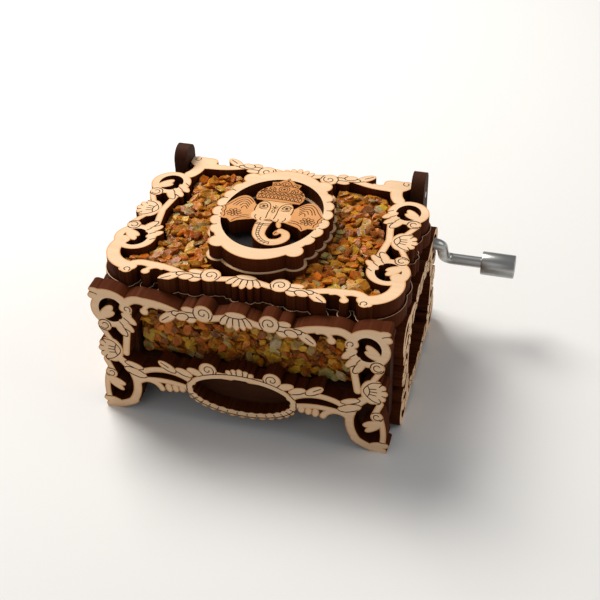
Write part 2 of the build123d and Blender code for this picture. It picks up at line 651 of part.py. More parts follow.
bed_shapes = [lid_bed(-1), lid_bed(1)]
lid_flakes = [flake for flake in flakes(LID_BED_HALF_W, LID_BED_FRONT, LID_BED_BACK)
              if abs(flake.center().X) > LID_FLAKE_MIN_U]
flake_gap_shapes = medallion_outline(RIM_STEP + 0.6)
with BuildPart() as lid_chips:
    with BuildSketch(Plane.XY.offset(BORDER_Z)):
        add(bed_shapes)
        add(bed_gap_shapes, mode=Mode.SUBTRACT)
    extrude(amount=CHIP_BED)
    with BuildSketch(Plane.XY.offset(BORDER_Z + CHIP_BED)):
        add(lid_flakes)
    extrude(amount=FLAKE_RISE, taper=FLAKE_TAPER)
    with BuildSketch(Plane.XY.offset(BORDER_Z)):
        add(flake_gap_shapes)
    extrude(amount=PLY, mode=Mode.SUBTRACT)
lid_chips.part.label = "lid_chips"

EAR_OUTLINE = [(2.5, -1.5), (3.6, 0.5), (5.9, 4.2), (7.3, 5.8), (8.7, 6.3), (10.1, 5.5),
               (11.4, 3.5), (12.5, 1.2), (13.5, 0.2), (12.75, -0.6), (13.1, -1.4), (12.3, -2.2),
               (12.8, -3.0), (12.1, -3.8), (12.4, -4.8), (10.3, -4.9), (9.0, -6.3), (7.8, -5.1),
               (5.6, -4.2), (3.8, -3.6)]
CROWN_HALF = [(5.6, 3.6), (6.2, 5.2), (6.2, 7.0), (5.5, 8.6), (4.4, 9.8), (3.5, 10.6),
              (3.9, 12.4), (2.2, 12.9), (1.3, 13.9), (0.6, 14.2), (0.0, 15.2)]
head = Spot(0, MEDALLION_Y)
crown = Spot(0, MEDALLION_Y + CROWN_LIFT)
crown_outline = CROWN_HALF + [(-u, v) for u, v in CROWN_HALF[-2::-1]]
head_shapes = [
    Pos(*head.at((0, 1.4))) * Ellipse(5.0, 5.2),
    Polygon(*[crown.at(corner) for corner in crown_outline], align=None),
    *bow(head, (-0.6, -1.6), (-1.15, -5.6), (-0.9, -9.2), 3.8),
    *bow(head, (-0.95, -9.0), (2.0, -12.5), (5.3, -10.5), 2.7),
    *bow(head, (5.2, -10.8), (6.0, -9.0), (4.1, -7.2), 2.0),
    *petal(head, (3.9, -6.9), (3.0, -9.3), 1.7),
    *petal(head, (2.4, -3.4), (3.4, -6.2), 1.3),
]
for side in (-1, 1):
    ear = Spot(0, MEDALLION_Y, side)
    head_shapes.append(Polygon(*[ear.at(corner) for corner in EAR_OUTLINE], align=None))
    head_shapes += ball(ear, (2.6, -1.4), 2.5)

with BuildPart() as elephant_head:
    with BuildSketch(Plane.XY.offset(BORDER_TOP)):
        add(head_shapes)
    extrude(amount=MEDALLION_T)
elephant_head.part.label = "elephant_head"

ring_shapes = medallion_outline(0)
with BuildPart() as medallion_ring:
    with BuildSketch(Plane.XY.offset(BORDER_TOP)):
        add(ring_shapes)
        with Locations((0, MEDALLION_Y)):
            Ellipse(MEDALLION_RX, MEDALLION_RY, mode=Mode.SUBTRACT)
        add(head_shapes, mode=Mode.SUBTRACT)
    extrude(amount=MEDALLION_T)
medallion_ring.part.label = "medallion_ring"

# ---- movement -----------------------------------------------------------------------

with BuildPart() as bedplate:
    with BuildSketch(Plane.XY.offset(BASE_TOP)):
        with Locations((0, BED_MID_Y)):
            RectangleRounded(BED_W, BED_D, 2.0)
    extrude(amount=BED_T)
    with BuildSketch(Plane.XY.offset(BED_TOP)):
        with Locations((COMB_START_X + BLOCK_LENGTH / 2, DRUM_MID_Y)):
            Rectangle(BLOCK_LENGTH, COMB_W)
    extrude(amount=COMB_Z - BED_TOP)
    with BuildSketch(Plane.XY.offset(COMB_Z)):
        with Locations(*COMB_SCREW_SPOTS):
            Circle(SCREW_R + RUN)
    extrude(amount=-6.0, mode=Mode.SUBTRACT)
    with BuildSketch(Plane.XY.offset(BED_TOP)):
        with Locations(*BED_SCREW_SPOTS):
            Circle(SCREW_R + RUN)
        with Locations(*CYLINDER_SCREW_SPOTS, *CRANK_SCREW_SPOTS):
            Circle(SMALL_SCREW_R + RUN)
    extrude(amount=-BED_T, mode=Mode.SUBTRACT)
bedplate.part.label = "bedplate"

with BuildPart() as comb:
    with BuildSketch(Plane.XY.offset(COMB_Z)):
        with Locations(((COMB_START_X + COMB_TIP_X) / 2, DRUM_MID_Y)):
            Rectangle(COMB_TIP_X - COMB_START_X, COMB_W)
        for gap in range(1, COMB_TEETH):
            reach = LONG_TOOTH + (SHORT_TOOTH - LONG_TOOTH) * gap / COMB_TEETH
            slot_y = DRUM_MID_Y - COMB_W / 2 + gap * COMB_W / COMB_TEETH
            with Locations((COMB_TIP_X - reach / 2, slot_y)):
                Rectangle(reach, COMB_SLOT, mode=Mode.SUBTRACT)
        with Locations(*COMB_SCREW_SPOTS):
            Circle(SCREW_R + RUN, mode=Mode.SUBTRACT)
    extrude(amount=COMB_T)
comb.part.label = "comb"


def screws(name, spots, seat_z, down, radius, length):
    """Slotted pan-head screws under one node; down is -1 for shanks that run down."""
    head = 1.8 * radius
    height = 1.1 * radius
    with BuildPart() as group:
        with BuildSketch(Plane.XY.offset(seat_z)):
            with Locations(*spots):
                Circle(radius)
        extrude(amount=down * length)
        with BuildSketch(Plane.XY.offset(seat_z)):
            with Locations(*spots):
                Circle(head)
        extrude(amount=-down * height)
        with BuildSketch(Plane.XY.offset(seat_z - down * height)):
            with Locations(*spots):
                Rectangle(3 * head, 0.35 * radius)
        extrude(amount=down * height / 2, mode=Mode.SUBTRACT)
    group.part.label = name
    return group


comb_screws = screws("comb_screws", COMB_SCREW_SPOTS, COMB_Z + COMB_T, -1, SCREW_R, 5.0)
movement_screws = screws("movement_screws", BED_SCREW_SPOTS, BASE_Z, 1, SCREW_R, WALL + BED_T - 0.4)
bracket_screws = screws("bracket_screws", CYLINDER_SCREW_SPOTS + CRANK_SCREW_SPOTS,
                        BED_TOP + BRACKET_T, -1, SMALL_SCREW_R, BRACKET_T + BED_T - 0.4)


def cylinder_bracket(name, y, outward):
    """Upright plate with the arbor's bearing, on a foot that points away from the drum."""
    foot_mid = y + BRACKET_T / 2 + outward * (BRACKET_T + BRACKET_FOOT) / 2
    with BuildPart() as bracket:
        with BuildSketch(Plane.XZ.offset(-y)):
            with Locations((DRUM_X, (BED_TOP + DRUM_Z) / 2)):
                Rectangle(BRACKET_W, DRUM_Z - BED_TOP)
            with Locations((DRUM_X, DRUM_Z)):
                Circle(BRACKET_W / 2)
                Circle(JOURNAL_R + RUN, mode=Mode.SUBTRACT)
        extrude(amount=-BRACKET_T)
        with BuildSketch(Plane.XY.offset(BED_TOP)):
            with Locations((DRUM_X, foot_mid)):
                Rectangle(BRACKET_W, BRACKET_FOOT)
            with Locations(*CYLINDER_SCREW_SPOTS):
                Circle(SMALL_SCREW_R + RUN, mode=Mode.SUBTRACT)
        extrude(amount=BRACKET_T)
    bracket.part.label = name
    return bracket


front_bracket = cylinder_bracket("front_cylinder_bracket", FRONT_BRACKET_Y, -1)
rear_bracket = cylinder_bracket("rear_cylinder_bracket", REAR_BRACKET_Y, 1)


def crank_bracket(name, x, outward):
    """Upright plate with the worm shaft's bearing."""
    foot_mid = x + BRACKET_T / 2 + outward * (BRACKET_T + BRACKET_FOOT) / 2
    with BuildPart() as bracket:
        with BuildSketch(Plane.YZ.offset(x)):
            with Locations((CRANK_BRACKET_Y, (BED_TOP + SHAFT_Z) / 2 - 1.5)):
                Rectangle(CRANK_BRACKET_W, SHAFT_Z - BED_TOP - 3.0)
            with Locations((SHAFT_Y, SHAFT_Z - 2.0)):
                Rectangle(2 * (JOURNAL_R + 0.9), 4.0)
            with Locations((SHAFT_Y, SHAFT_Z)):
                Circle(JOURNAL_R + 0.9)
                Circle(JOURNAL_R + RUN, mode=Mode.SUBTRACT)
        extrude(amount=BRACKET_T)
        with BuildSketch(Plane.XY.offset(BED_TOP)):
            with Locations((foot_mid, CRANK_BRACKET_Y)):
                Rectangle(BRACKET_FOOT, CRANK_BRACKET_W)
            with Locations(*CRANK_SCREW_SPOTS):
                Circle(SMALL_SCREW_R + RUN, mode=Mode.SUBTRACT)
        extrude(amount=BRACKET_T)
    bracket.part.label = name
    return bracket


inner_bracket = crank_bracket("inner_crank_bracket", CRANK_BRACKET_X, -1)
outer_bracket = crank_bracket("outer_crank_bracket", OUTER_BRACKET_X, 1)

# ---- pinned cylinder, its arbor and its worm wheel ------------------------------------

with BuildPart() as music_cylinder:
    with BuildSketch(Plane.XZ.offset(-DRUM_FRONT_Y)):
        with Locations((DRUM_X, DRUM_Z)):
            Circle(DRUM_R)
            Circle(DRUM_R - TUBE_WALL, mode=Mode.SUBTRACT)
    extrude(amount=-DRUM_LENGTH)
    for count in range(COMB_TEETH * PINS_PER_NOTE):
        note = count % COMB_TEETH
        turn = 137.5 * count
        root = Plane(origin=(DRUM_X, DRUM_MID_Y - COMB_W / 2 + (note + 0.5) * COMB_W / COMB_TEETH,
                             DRUM_Z),
                     z_dir=(math.cos(math.radians(turn)), 0, math.sin(math.radians(turn))))
        with BuildSketch(root.offset(DRUM_R - TUBE_WALL / 2)):
            Circle(NOTE_PIN_R)
    extrude(amount=PIN_HEIGHT + TUBE_WALL / 2)
music_cylinder.part.label = "music_cylinder"

with BuildPart() as cylinder_caps:
    for cap_y in (DRUM_FRONT_Y, DRUM_BACK_Y - CAP_T):
        with BuildSketch(Plane.XZ.offset(-cap_y)):
            with Locations((DRUM_X, DRUM_Z)):
                Circle(DRUM_R - TUBE_WALL)
                Circle(JOURNAL_R, mode=Mode.SUBTRACT)
        extrude(amount=-CAP_T)
cylinder_caps.part.label = "cylinder_caps"


with BuildPart() as cylinder_arbor:
    with BuildSketch(Plane.XZ.offset(-ARBOR_START_Y)):
        with Locations((DRUM_X, DRUM_Z)):
            Circle(JOURNAL_R)
    extrude(amount=-(ARBOR_END_Y - ARBOR_START_Y))
cylinder_arbor.part.label = "cylinder_arbor"

TOOTH_ROOT, TOOTH_TIP = 0.46, 0.2   # half widths


def wheel_outline(turn):
    """Corners of the worm wheel, with a tooth gap at the top."""
    corners = []
    for tooth in range(WHEEL_TEETH):
        middle = 90 + turn + 360 * (tooth + 0.5) / WHEEL_TEETH
        for radius, half in ((WHEEL_ROOT_R, -TOOTH_ROOT), (WHEEL_TIP_R, -TOOTH_TIP),
                             (WHEEL_TIP_R, TOOTH_TIP), (WHEEL_ROOT_R, TOOTH_ROOT)):
            angle = math.radians(middle) + half / radius
            corners.append((DRUM_X + radius * math.cos(angle), DRUM_Z + radius * math.sin(angle)))
    return corners


with BuildPart() as worm_wheel:
    for face in (-0.5, 0.5):
        with BuildSketch(Plane.XZ.offset(-(SHAFT_Y + face * WHEEL_FACE))):
            Polygon(*wheel_outline(-face * WHEEL_TWIST), align=None)
    loft(ruled=True)
    with BuildSketch(Plane.XZ.offset(-(SHAFT_Y - WHEEL_FACE / 2))):
        with Locations((DRUM_X, DRUM_Z)):
            Circle(JOURNAL_R)
    extrude(amount=-WHEEL_FACE, mode=Mode.SUBTRACT)
worm_wheel.part.label = "worm_wheel"

# ---- crank --------------------------------------------------------------------------
THREAD_ROOT, THREAD_TIP = 0.48, 0.22    # half widths

with BuildPart() as worm_shaft:
    for start, end, radius in ((CRANK_BRACKET_X - 0.8, SOCKET_X, JOURNAL_R),
                               (HUB_START_X, HUB_END_X, WORM_ROOT_R),
                               (SOCKET_X, SOCKET_X + SOCKET_LENGTH, SOCKET_R)):
        with BuildSketch(AXIS.offset(start)):
            Circle(radius)
        extrude(amount=end - start)
    with BuildSketch(AXIS.offset(SOCKET_X + SOCKET_LENGTH)):
        Circle(ROD_R)
    extrude(amount=-SOCKET_DEPTH, mode=Mode.SUBTRACT)
    with BuildLine() as thread_path:
        Helix(pitch=WORM_LEAD, height=WORM_TURNS * WORM_LEAD, radius=WORM_ROOT_R,
              center=(WORM_START_X, SHAFT_Y, SHAFT_Z), direction=(1, 0, 0))
    with BuildSketch(Plane(origin=thread_path.line @ 0, x_dir=(0, 0, 1),
                           z_dir=thread_path.line % 0)):
        Polygon((-0.06, -THREAD_ROOT), (WORM_TIP_R - WORM_ROOT_R, -THREAD_TIP),
                (WORM_TIP_R - WORM_ROOT_R, THREAD_TIP), (-0.06, THREAD_ROOT), align=None)
    sweep(path=thread_path.line, is_frenet=True)
worm_shaft.part.label = "worm_shaft"


with BuildPart() as crank_rod:
    with BuildLine() as wire:
        FilletPolyline((ROD_START_X, SHAFT_Y, SHAFT_Z), (ARM_X, SHAFT_Y, SHAFT_Z),
                       (ARM_X, HANDLE_Y, HANDLE_Z), (ROD_END_X, HANDLE_Y, HANDLE_Z),
                       radius=BEND_R)
    with BuildSketch(Plane(origin=wire.line @ 0, z_dir=(1, 0, 0))):
        Circle(ROD_R)
    sweep(path=wire.line)
crank_rod.part.label = "crank_rod"

with BuildPart() as crank_knob:
    with BuildSketch(Plane(origin=(KNOB_X, HANDLE_Y, HANDLE_Z), z_dir=(1, 0, 0))):
        Circle(KNOB_R)
    extrude(amount=KNOB_LENGTH)
    chamfer(crank_knob.edges().filter_by(GeomType.CIRCLE), 0.3)
    with BuildSketch(Plane(origin=(KNOB_X, HANDLE_Y, HANDLE_Z), z_dir=(1, 0, 0))):
        Circle(ROD_R + RUN)
    extrude(amount=KNOB_LENGTH - KNOB_WALL, mode=Mode.SUBTRACT)
crank_knob.part.label = "crank_knob"

PARTS = [base_board, left_wall, right_wall, front_wall, back_wall, front_spacer, front_fretwork,
         left_fretwork, right_fretwork, back_fretwork, front_chips, hinge_pins, lid_board,
         lid_border, lid_chips, medallion_ground, medallion_ring, elephant_head, bedplate, comb,
         comb_screws, movement_screws, bracket_screws, front_bracket, rear_bracket,
         inner_bracket, outer_bracket, music_cylinder, cylinder_caps, cylinder_arbor,
         worm_wheel, worm_shaft, crank_rod, crank_knob]
for piece in PARTS:
    export_step(piece.part, f"parts/{piece.part.label}.step")
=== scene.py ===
"""Looks of the hand-cranked music box: engraved plywood fretwork, amber chips, metal crank.

Plan sizes are in millimetres and are scaled to metres when a mesh is made. X runs along the
front, Y to the back, Z up, and the origin is on the table under the middle of the box.
"""
import logging
import math
from dataclasses import dataclass, field
from enum import Enum
from typing import Optional, Sequence

import bpy
import numpy as np
from mathutils import Matrix, Vector
from mathutils.geometry import delaunay_2d_cdt


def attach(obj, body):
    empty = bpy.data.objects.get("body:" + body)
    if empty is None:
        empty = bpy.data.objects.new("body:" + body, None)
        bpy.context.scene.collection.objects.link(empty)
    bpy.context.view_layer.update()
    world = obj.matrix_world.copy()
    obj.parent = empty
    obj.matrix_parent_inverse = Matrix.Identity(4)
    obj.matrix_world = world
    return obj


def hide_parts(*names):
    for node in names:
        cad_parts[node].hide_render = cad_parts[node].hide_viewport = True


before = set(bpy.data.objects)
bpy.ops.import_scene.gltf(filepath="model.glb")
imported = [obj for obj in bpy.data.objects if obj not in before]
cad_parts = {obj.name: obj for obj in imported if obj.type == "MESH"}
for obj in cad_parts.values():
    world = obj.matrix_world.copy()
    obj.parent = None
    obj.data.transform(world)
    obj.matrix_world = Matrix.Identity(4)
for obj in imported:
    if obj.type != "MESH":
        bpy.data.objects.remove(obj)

LOG = logging.getLogger("music_box")
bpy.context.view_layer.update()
MM = 0.001
Point = tuple[float, float]


# ---- plan sizes, the same as in the part's source -----------------------------------
@dataclass(frozen=True)
class BoxSizes:
    """Named sizes of the case, in millimetres."""

    half: float = 36.5
    front_y: float = -30.0
    back_y: float = 30.0
    ply: float = 4.0
    front_wall_y: float = -22.0
    back_face_y: float = 26.6
    side_out_x: float = 34.3
    wall_top: float = 32.2
    back_top: float = 31.6
    front_top: float = 37.0
    foot_cut: float = 0.5
    lid_half: float = 37.0
    lid_z: float = 32.4
    border_z: float = 36.4
    border_top: float = 40.4
    ring_t: float = 3.8
    lid_front: float = -25.6
    lid_back: float = 29.8
    lid_mid: float = 2.4
    lid_ring: float = 13.0
    front_rail: float = -19.8
    back_rail: float = 24.6
    lid_inner_x: float = 30.4
    lid_wing_y: float = 21.2
    pin_y: float = 27.8
    med_rx: float = 12.6
    med_ry: float = 15.7
    med_y: float = 2.0
    ring_band: float = 2.4
    rim_step: float = 0.8
    shaft_y: float = 20.0
    shaft_z: float = 29.0
    crank_hole: float = 2.3

    @property
    def side_mid(self) -> float:
        """Middle of a side wall, along Y."""
        return (self.back_face_y + self.front_wall_y) / 2

    @property
    def side_half(self) -> float:
        """Half the length of a side wall."""
        return (self.back_face_y - self.front_wall_y) / 2


BOX = BoxSizes()


# ---- flat shapes ----------------------------------------------------------------------
def ellipse(centre: Point, rx: float, ry: float, turn: float = 0.0, step: float = 0.45
            ) -> np.ndarray:
    """Closed outline of an ellipse: centre plus rx cos a and ry sin a, turned.

    Args:
        centre: its middle.
        rx: half width.
        ry: half height.
        turn: turn of the width from +u, in radians.
        step: rough length between points.
    Returns:
        Points in order, shape (n, 2).
    """
    count = int(max(12, 2 * math.pi * max(rx, ry) / step))
    a = np.linspace(0, 2 * math.pi, count, endpoint=False)
    u, v = rx * np.cos(a), ry * np.sin(a)
    c, s = math.cos(turn), math.sin(turn)
    return np.stack([centre[0] + u * c - v * s, centre[1] + u * s + v * c], 1)


def ribbon(path: np.ndarray, width: np.ndarray | float) -> np.ndarray:
    """Closed outline of a band: the path shifted half a width to both sides, round ends.

    Args:
        path: points of the middle line, shape (n, 2).
        width: one width, or one for each point.
    Returns:
        Points in order, shape (m, 2).
    """
    half = np.broadcast_to(np.asarray(width, float) / 2, (len(path),))
    along = np.gradient(path, axis=0)
    along /= np.linalg.norm(along, axis=1, keepdims=True) + 1e-12
    across = np.stack([-along[:, 1], along[:, 0]], 1)
    left = path + across * half[:, None]
    right = path - across * half[:, None]
    a = np.linspace(0, math.pi, 9)[1:-1]

    def cap(end: int, sign: float) -> np.ndarray:
        """Half circle round one end of the band."""
        return (path[end] + half[end] * (np.cos(a)[:, None] * across[end] * sign
                                         + np.sin(a)[:, None] * along[end] * sign))

    return np.concatenate([left, cap(-1, 1.0), right[::-1], cap(0, -1.0)])


def arc_through(a: Point, b: Point, c: Point, step: float = 0.45) -> np.ndarray:
    """Points of the circle arc from a through b to c, evenly spaced along its angle."""
    (ax, ay), (bx, by), (cx, cy) = a, b, c
    d = 2 * (ax * (by - cy) + bx * (cy - ay) + cx * (ay - by))
    if abs(d) < 1e-6:
        return np.linspace(a, c, 12)
    sa, sb, sc = ax * ax + ay * ay, bx * bx + by * by, cx * cx + cy * cy
    ux = (sa * (by - cy) + sb * (cy - ay) + sc * (ay - by)) / d
    uy = (sa * (cx - bx) + sb * (ax - cx) + sc * (bx - ax)) / d
    radius = math.hypot(ax - ux, ay - uy)
    start, middle, end = (math.atan2(y - uy, x - ux) for x, y in (a, b, c))
    sweep = (end - start) % (2 * math.pi)
    if (middle - start) % (2 * math.pi) > sweep:
        sweep -= 2 * math.pi
    count = int(max(6, abs(sweep) * radius / step))
    t = start + sweep * np.linspace(0, 1, count)
    return np.stack([ux + radius * np.cos(t), uy + radius * np.sin(t)], 1)


def smooth_path(points: Sequence[Point], step: float = 0.4) -> np.ndarray:
    """Points of a Catmull-Rom curve through the given ones."""
    p = np.asarray(points, float)
    p = np.concatenate([[2 * p[0] - p[1]], p, [2 * p[-1] - p[-2]]])
    out = []
    for i in range(1, len(p) - 2):
        p0, p1, p2, p3 = p[i - 1:i + 3]
        count = int(max(3, np.linalg.norm(p2 - p1) / step))
        t = np.linspace(0, 1, count, endpoint=False)[:, None]
        out.append(0.5 * (2 * p1 + (p2 - p0) * t + (2 * p0 - 5 * p1 + 4 * p2 - p3) * t ** 2
                          + (3 * p1 - p0 - 3 * p2 + p3) * t ** 3))
    return np.concatenate(out + [p[-2:-1]])


def spiral(centre: Point, start_r: float, end_r: float, start: float, sweep: float
           ) -> np.ndarray:
    """Points of a spiral whose radius falls evenly with its angle."""
    t = np.linspace(0, 1, int(max(10, abs(sweep) * start_r / 0.3)))
    r, a = start_r + (end_r - start_r) * t, start + sweep * t
    return np.stack([centre[0] + r * np.cos(a), centre[1] + r * np.sin(a)], 1)


@dataclass
class Motif:
    """One piece of ornament: its outline, the outline inside its score, and its lines."""

    outer: np.ndarray
    inner: np.ndarray
    hole: Optional[np.ndarray] = None
    scored: bool = True
    tone: float = 0.0
    lines: list[np.ndarray] = field(default_factory=list)


SCORE = 0.3             # width of a scored outline
LINE = 0.26             # width of an engraved line


@dataclass(frozen=True)
class Spot:
    """A local sheet frame: an anchor, and the directions in which its ornament runs."""

    u: float = 0.0
    v: float = 0.0
    du: float = 1.0
    dv: float = 1.0
    grow: float = 0.0
    score: float = SCORE

    def oval(self, centre: Point, rx: float, ry: float, turn: float = 0.0,
             **options: object) -> Motif:
        """An ellipse of the sheet as a motif, grown and scored as this frame says."""
        rx, ry = rx + self.grow, ry + self.grow
        return Motif(ellipse(centre, rx, ry, turn),
                     ellipse(centre, rx - self.score, ry - self.score, turn), **options)

    def at(self, point: Point) -> Point:
        """The sheet's point for a point of this frame."""
        return (self.u + self.du * point[0], self.v + self.dv * point[1])

    def path(self, points: Sequence[Point]) -> np.ndarray:
        """A smooth path through points of this frame."""
        return smooth_path([self.at(p) for p in points])

    def ball(self, centre: Point, radius: float, curl: float = 0.0, scored: bool = True
             ) -> list[Motif]:
        """A round curl end, with a spiral line on it where curl isn't nought."""
        c = self.at(centre)
        lines = []
        if curl:
            turn = curl * (1 if self.du * self.dv > 0 else -1)
            start = math.atan2(-0.6 * self.dv, -0.8 * self.du)
            tight, sweep = (0.14, 7.0) if radius > 2.2 else (0.34, 5.0)
            lines = [ribbon(spiral(c, radius * 0.68, radius * tight, start, turn * sweep), LINE)]
        return [self.oval(c, radius, radius, scored=scored, lines=lines)]

    def petal(self, root: Point, tip: Point, width: float, vein: bool = False,
              scored: bool = True, tone: float = 0.0) -> list[Motif]:
        """A leaf or petal between two points, with a vein where asked."""
        a, b = np.array(self.at(root)), np.array(self.at(tip))
        length, turn = float(np.linalg.norm(b - a)), math.atan2(*(b - a)[::-1])
        middle = tuple((a + b) / 2)
        lines = []
        if vein:
            lines = [ribbon(np.linspace(a + 0.45 * (b - a), a + 0.86 * (b - a), 6), LINE)]
        return [self.oval(middle, length / 2, width / 2, turn, scored=scored, lines=lines,
                          tone=tone)]

    def band(self, path: np.ndarray, width: np.ndarray | float, lines: Sequence = (),
             scored: bool = True) -> list[Motif]:
        """A band along a path."""
        width = np.asarray(width, float) + 2 * self.grow
        return [Motif(ribbon(path, width), ribbon(path, width - 2 * self.score), scored=scored,
                      lines=[ribbon(line, LINE) for line in lines])]

    def bar(self, start: Point, end: Point, width: float, scored: bool = True) -> list[Motif]:
        """A straight round-ended bar."""
        path = np.linspace(self.at(start), self.at(end), 8)
        return self.band(path, width, scored=scored)

    def bow(self, start: Point, middle: Point, end: Point, width: float, scored: bool = True
            ) -> list[Motif]:
        """A curved round-ended band through three points."""
        return self.band(arc_through(self.at(start), self.at(middle), self.at(end)), width,
                         scored=scored)


# ---- ornament -------------------------------------------------------------------------
class Ornament:
    """The carved-look motifs that all the fretwork panels share."""

    RING_R = 5.3
    RING_V = 4.9
    COLUMN_U = 5.0
    SHELL_V = 17.6
    OVAL_V = 10.9
    OVAL_RX = 12.7
    OVAL_RZ = 5.2
    OVAL_BAND = 1.5
    OVAL_BEADS = 7
    SCALLOPS = 6
    SCALLOP_R = 2.5
    SCALLOP_SPAN = 63.0
    LOBE = (9.4, 14.6)
    LOBE_R = 2.4
    NOTCH = 1.7
    REACH = 27.9

    def __init__(self) -> None:
        """Starts with no radial lines under the oval frame."""
        self.ticks: list[np.ndarray] = []

    def ring_scroll(self, spot: Spot) -> list[Motif]:
        """Corner ring with its heart curl, its finger leaves and the small spiral."""
        c, r = spot.at((0, 0)), self.RING_R
        ring = spot.oval(c, r, r, hole=ellipse(c, r - 2.1, r - 1.7), scored=False)
        for start, end in (((3.0, -1.9), (4.5, -3.2)), ((1.8, -3.3), (3.0, -4.9)),
                           ((4.0, 0.4), (5.3, -0.6))):
            ring.lines.append(ribbon(np.linspace(spot.at(start), spot.at(end), 5), LINE))
        return [
            *spot.petal((2.6, -0.4), (6.1, -3.6), 2.1),
            *spot.petal((0.6, -3.6), (3.4, -7.7), 2.2),
            *spot.petal((1.8, -2.6), (5.2, -6.0), 2.2),
            ring,
            *self.heart(spot, (-3.1, -2.6), (-0.4, 0.45), (-0.1, -1.05)),
            *spot.ball((-2.3, -5.0), 1.8, curl=1.0),
        ]

    @staticmethod
    def heart(spot: Spot, root: Point, high: Point, low: Point) -> list[Motif]:
        """A heart-shaped curl: two petals from one root, each a little past its lobe."""
        motifs, past = [], 0.3
        for lobe, width in ((high, 2.3), (low, 2.0)):
            tip = tuple((1 + past) * a - past * b for a, b in zip(lobe, root))
            motifs += spot.petal(root, tip, width, scored=False)
        return motifs

    def column_waist(self, spot: Spot, length: float) -> list[Motif]:
        """From the fingers to the shell: a bar on each side of a small hole."""
        return [
            *spot.bar((-3.2, -5.8), (-0.9, -length + 2.6), 1.5, scored=False),
            *spot.bow((3.4, -6.0), (2.9, -length * 0.72), (2.3, -length - 0.4), 1.8,
                      scored=False),
        ]

    def side_shell(self, spot: Spot) -> list[Motif]:
        """Fan at the middle of a column, its petals outwards and its ribs engraved."""
        motifs = []
        for angle in (112, 248, 145, 215, 180):
            a = math.radians(angle)
            tip = (3.5 * math.cos(a), 4.0 * math.sin(a))
            motifs += spot.petal((tip[0] * 0.2, tip[1] * 0.2), tip, 2.2)
        fan = spot.oval(spot.at((0.3, 0)), 2.8, 3.8, scored=False)
        fold = [(-2.0, 3.2), (0.3, 2.9), (1.8, 1.5), (2.4, 0.1), (1.7, -1.3), (0.0, -2.8),
                (-2.0, -3.3)]
        palm = [(1.35, 1.75), (0.95, 0.6), (0.95, -0.4), (1.35, -1.5)]
        marks = [ribbon(spot.path(points), LINE) for points in (fold, palm)]
        for start, end in (((1.0, 0.9), (-0.6, 1.1)), ((0.9, 0.1), (-0.8, 0.1)),
                           ((1.0, -0.7), (-0.6, -0.95))):
            marks.append(ribbon(np.linspace(spot.at(start), spot.at(end), 4), LINE))
        for angle in (128, 162, 198, 232):
            a = math.radians(angle)
            ends = [spot.at((r * math.cos(a), 1.1 * r * math.sin(a))) for r in (2.2, 3.6)]
            marks.append(ribbon(np.linspace(ends[0], ends[1], 4), LINE))
        for motif in (*motifs, fan):
            motif.lines = motif.lines + marks
        return motifs + [fan]

    def scroll_rail(self, spot: Spot, reach: float) -> list[Motif]:
        """Half a rail: shell side, spiral, lobes, leaf and C-scroll, crest up.

        Args:
            spot: its frame, with the middle of the rail's top line at nought.
            reach: stretch along the rail.
        Returns:
            The motifs, lowest first.
        """
        def out(u: float, v: float) -> Point:
            return (u * reach, v)

        return [
            *spot.bow(out(19.6, -1.9), out(22.2, -2.2), out(22.9, -3.7), 1.3, scored=False),
            *spot.ball(out(22.9, -3.8), 1.1, scored=False),
            *spot.bow(out(14.8, -2.6), out(19.4, -1.1), out(25.0, -0.8), 2.1, scored=False),
            *spot.bow(out(22.6, -1.1), out(26.6, -1.4), out(28.2, -3.9), 2.3, scored=False),
            *spot.ball(out(27.4, -4.0), 1.4, curl=-1.0, scored=False),
            *spot.petal(out(14.8, -2.6), out(19.2, -6.1), 2.7, vein=True),
            *spot.petal(out(9.8, -1.4), out(13.4, -1.1), 2.0),
            *spot.petal(out(9.8, -3.4), out(12.4, -4.6), 2.2),
            *spot.bar(out(9.0, -2.6), out(15.2, -2.8), 1.7),
            *spot.petal(out(11.6, -3.2), out(15.0, -4.0), 2.4),
            *spot.bar(out(1.6, -1.6), out(6.0, -2.8), 1.9, scored=False),
            *spot.ball(out(8.1, -1.8), 2.5, curl=-1.0),
            *spot.petal(out(1.4, -0.9), out(3.8, -4.0), 2.0),
            *spot.petal(out(0.7, -0.9), out(2.0, -4.9), 1.9),
        ]

    def rail_middle(self, spot: Spot) -> list[Motif]:
        """The middle petal of a rail's shell, and the cap over its petals."""
        return [*spot.petal((0.0, -0.8), (0.0, -5.3), 1.9),
                *spot.petal((-2.6, -0.8), (2.6, -0.8), 2.0)]

    def foot_column(self, spot: Spot, height: float) -> list[Motif]:
        """Lower half of a front column: tall hole with its curl, and the foot."""
        low = -height
        return [
            *spot.bar((-1.8, -3.4), (-0.6, -6.6), 1.6, scored=False),
            *spot.bow((-2.0, -8.6), (-2.6, -12.0), (-2.4, low + 2.4), 1.5, scored=False),
            *spot.ball((-1.0, -7.8), 1.6, curl=1.0),
            *self.heart(spot, (-2.5, -9.5), (1.3, -10.8), (0.8, -12.3)),
            *spot.bow((2.0, -2.6), (5.7, -11.0), (3.6, low + 3.3), 2.2, scored=False),
            *spot.petal((1.0, low + 2.2), (-4.2, low + 3.2), 2.4),
            *spot.bow((4.4, low + 4.0), (1.8, low + 2.4), (-2.6, low + 1.1), 2.2, scored=False),
            *spot.petal((3.0, -3.2), (8.0, -4.9), 1.9),
            *spot.petal((2.8, -5.2), (8.6, -7.4), 2.6),
        ]

    def oval_rail(self, spot: Spot, reach: float) -> list[Motif]:
        """Half of the front's bottom rail, from the middle outwards, beside the oval."""
        def out(u: float, v: float) -> Point:
            return (u * reach, v)

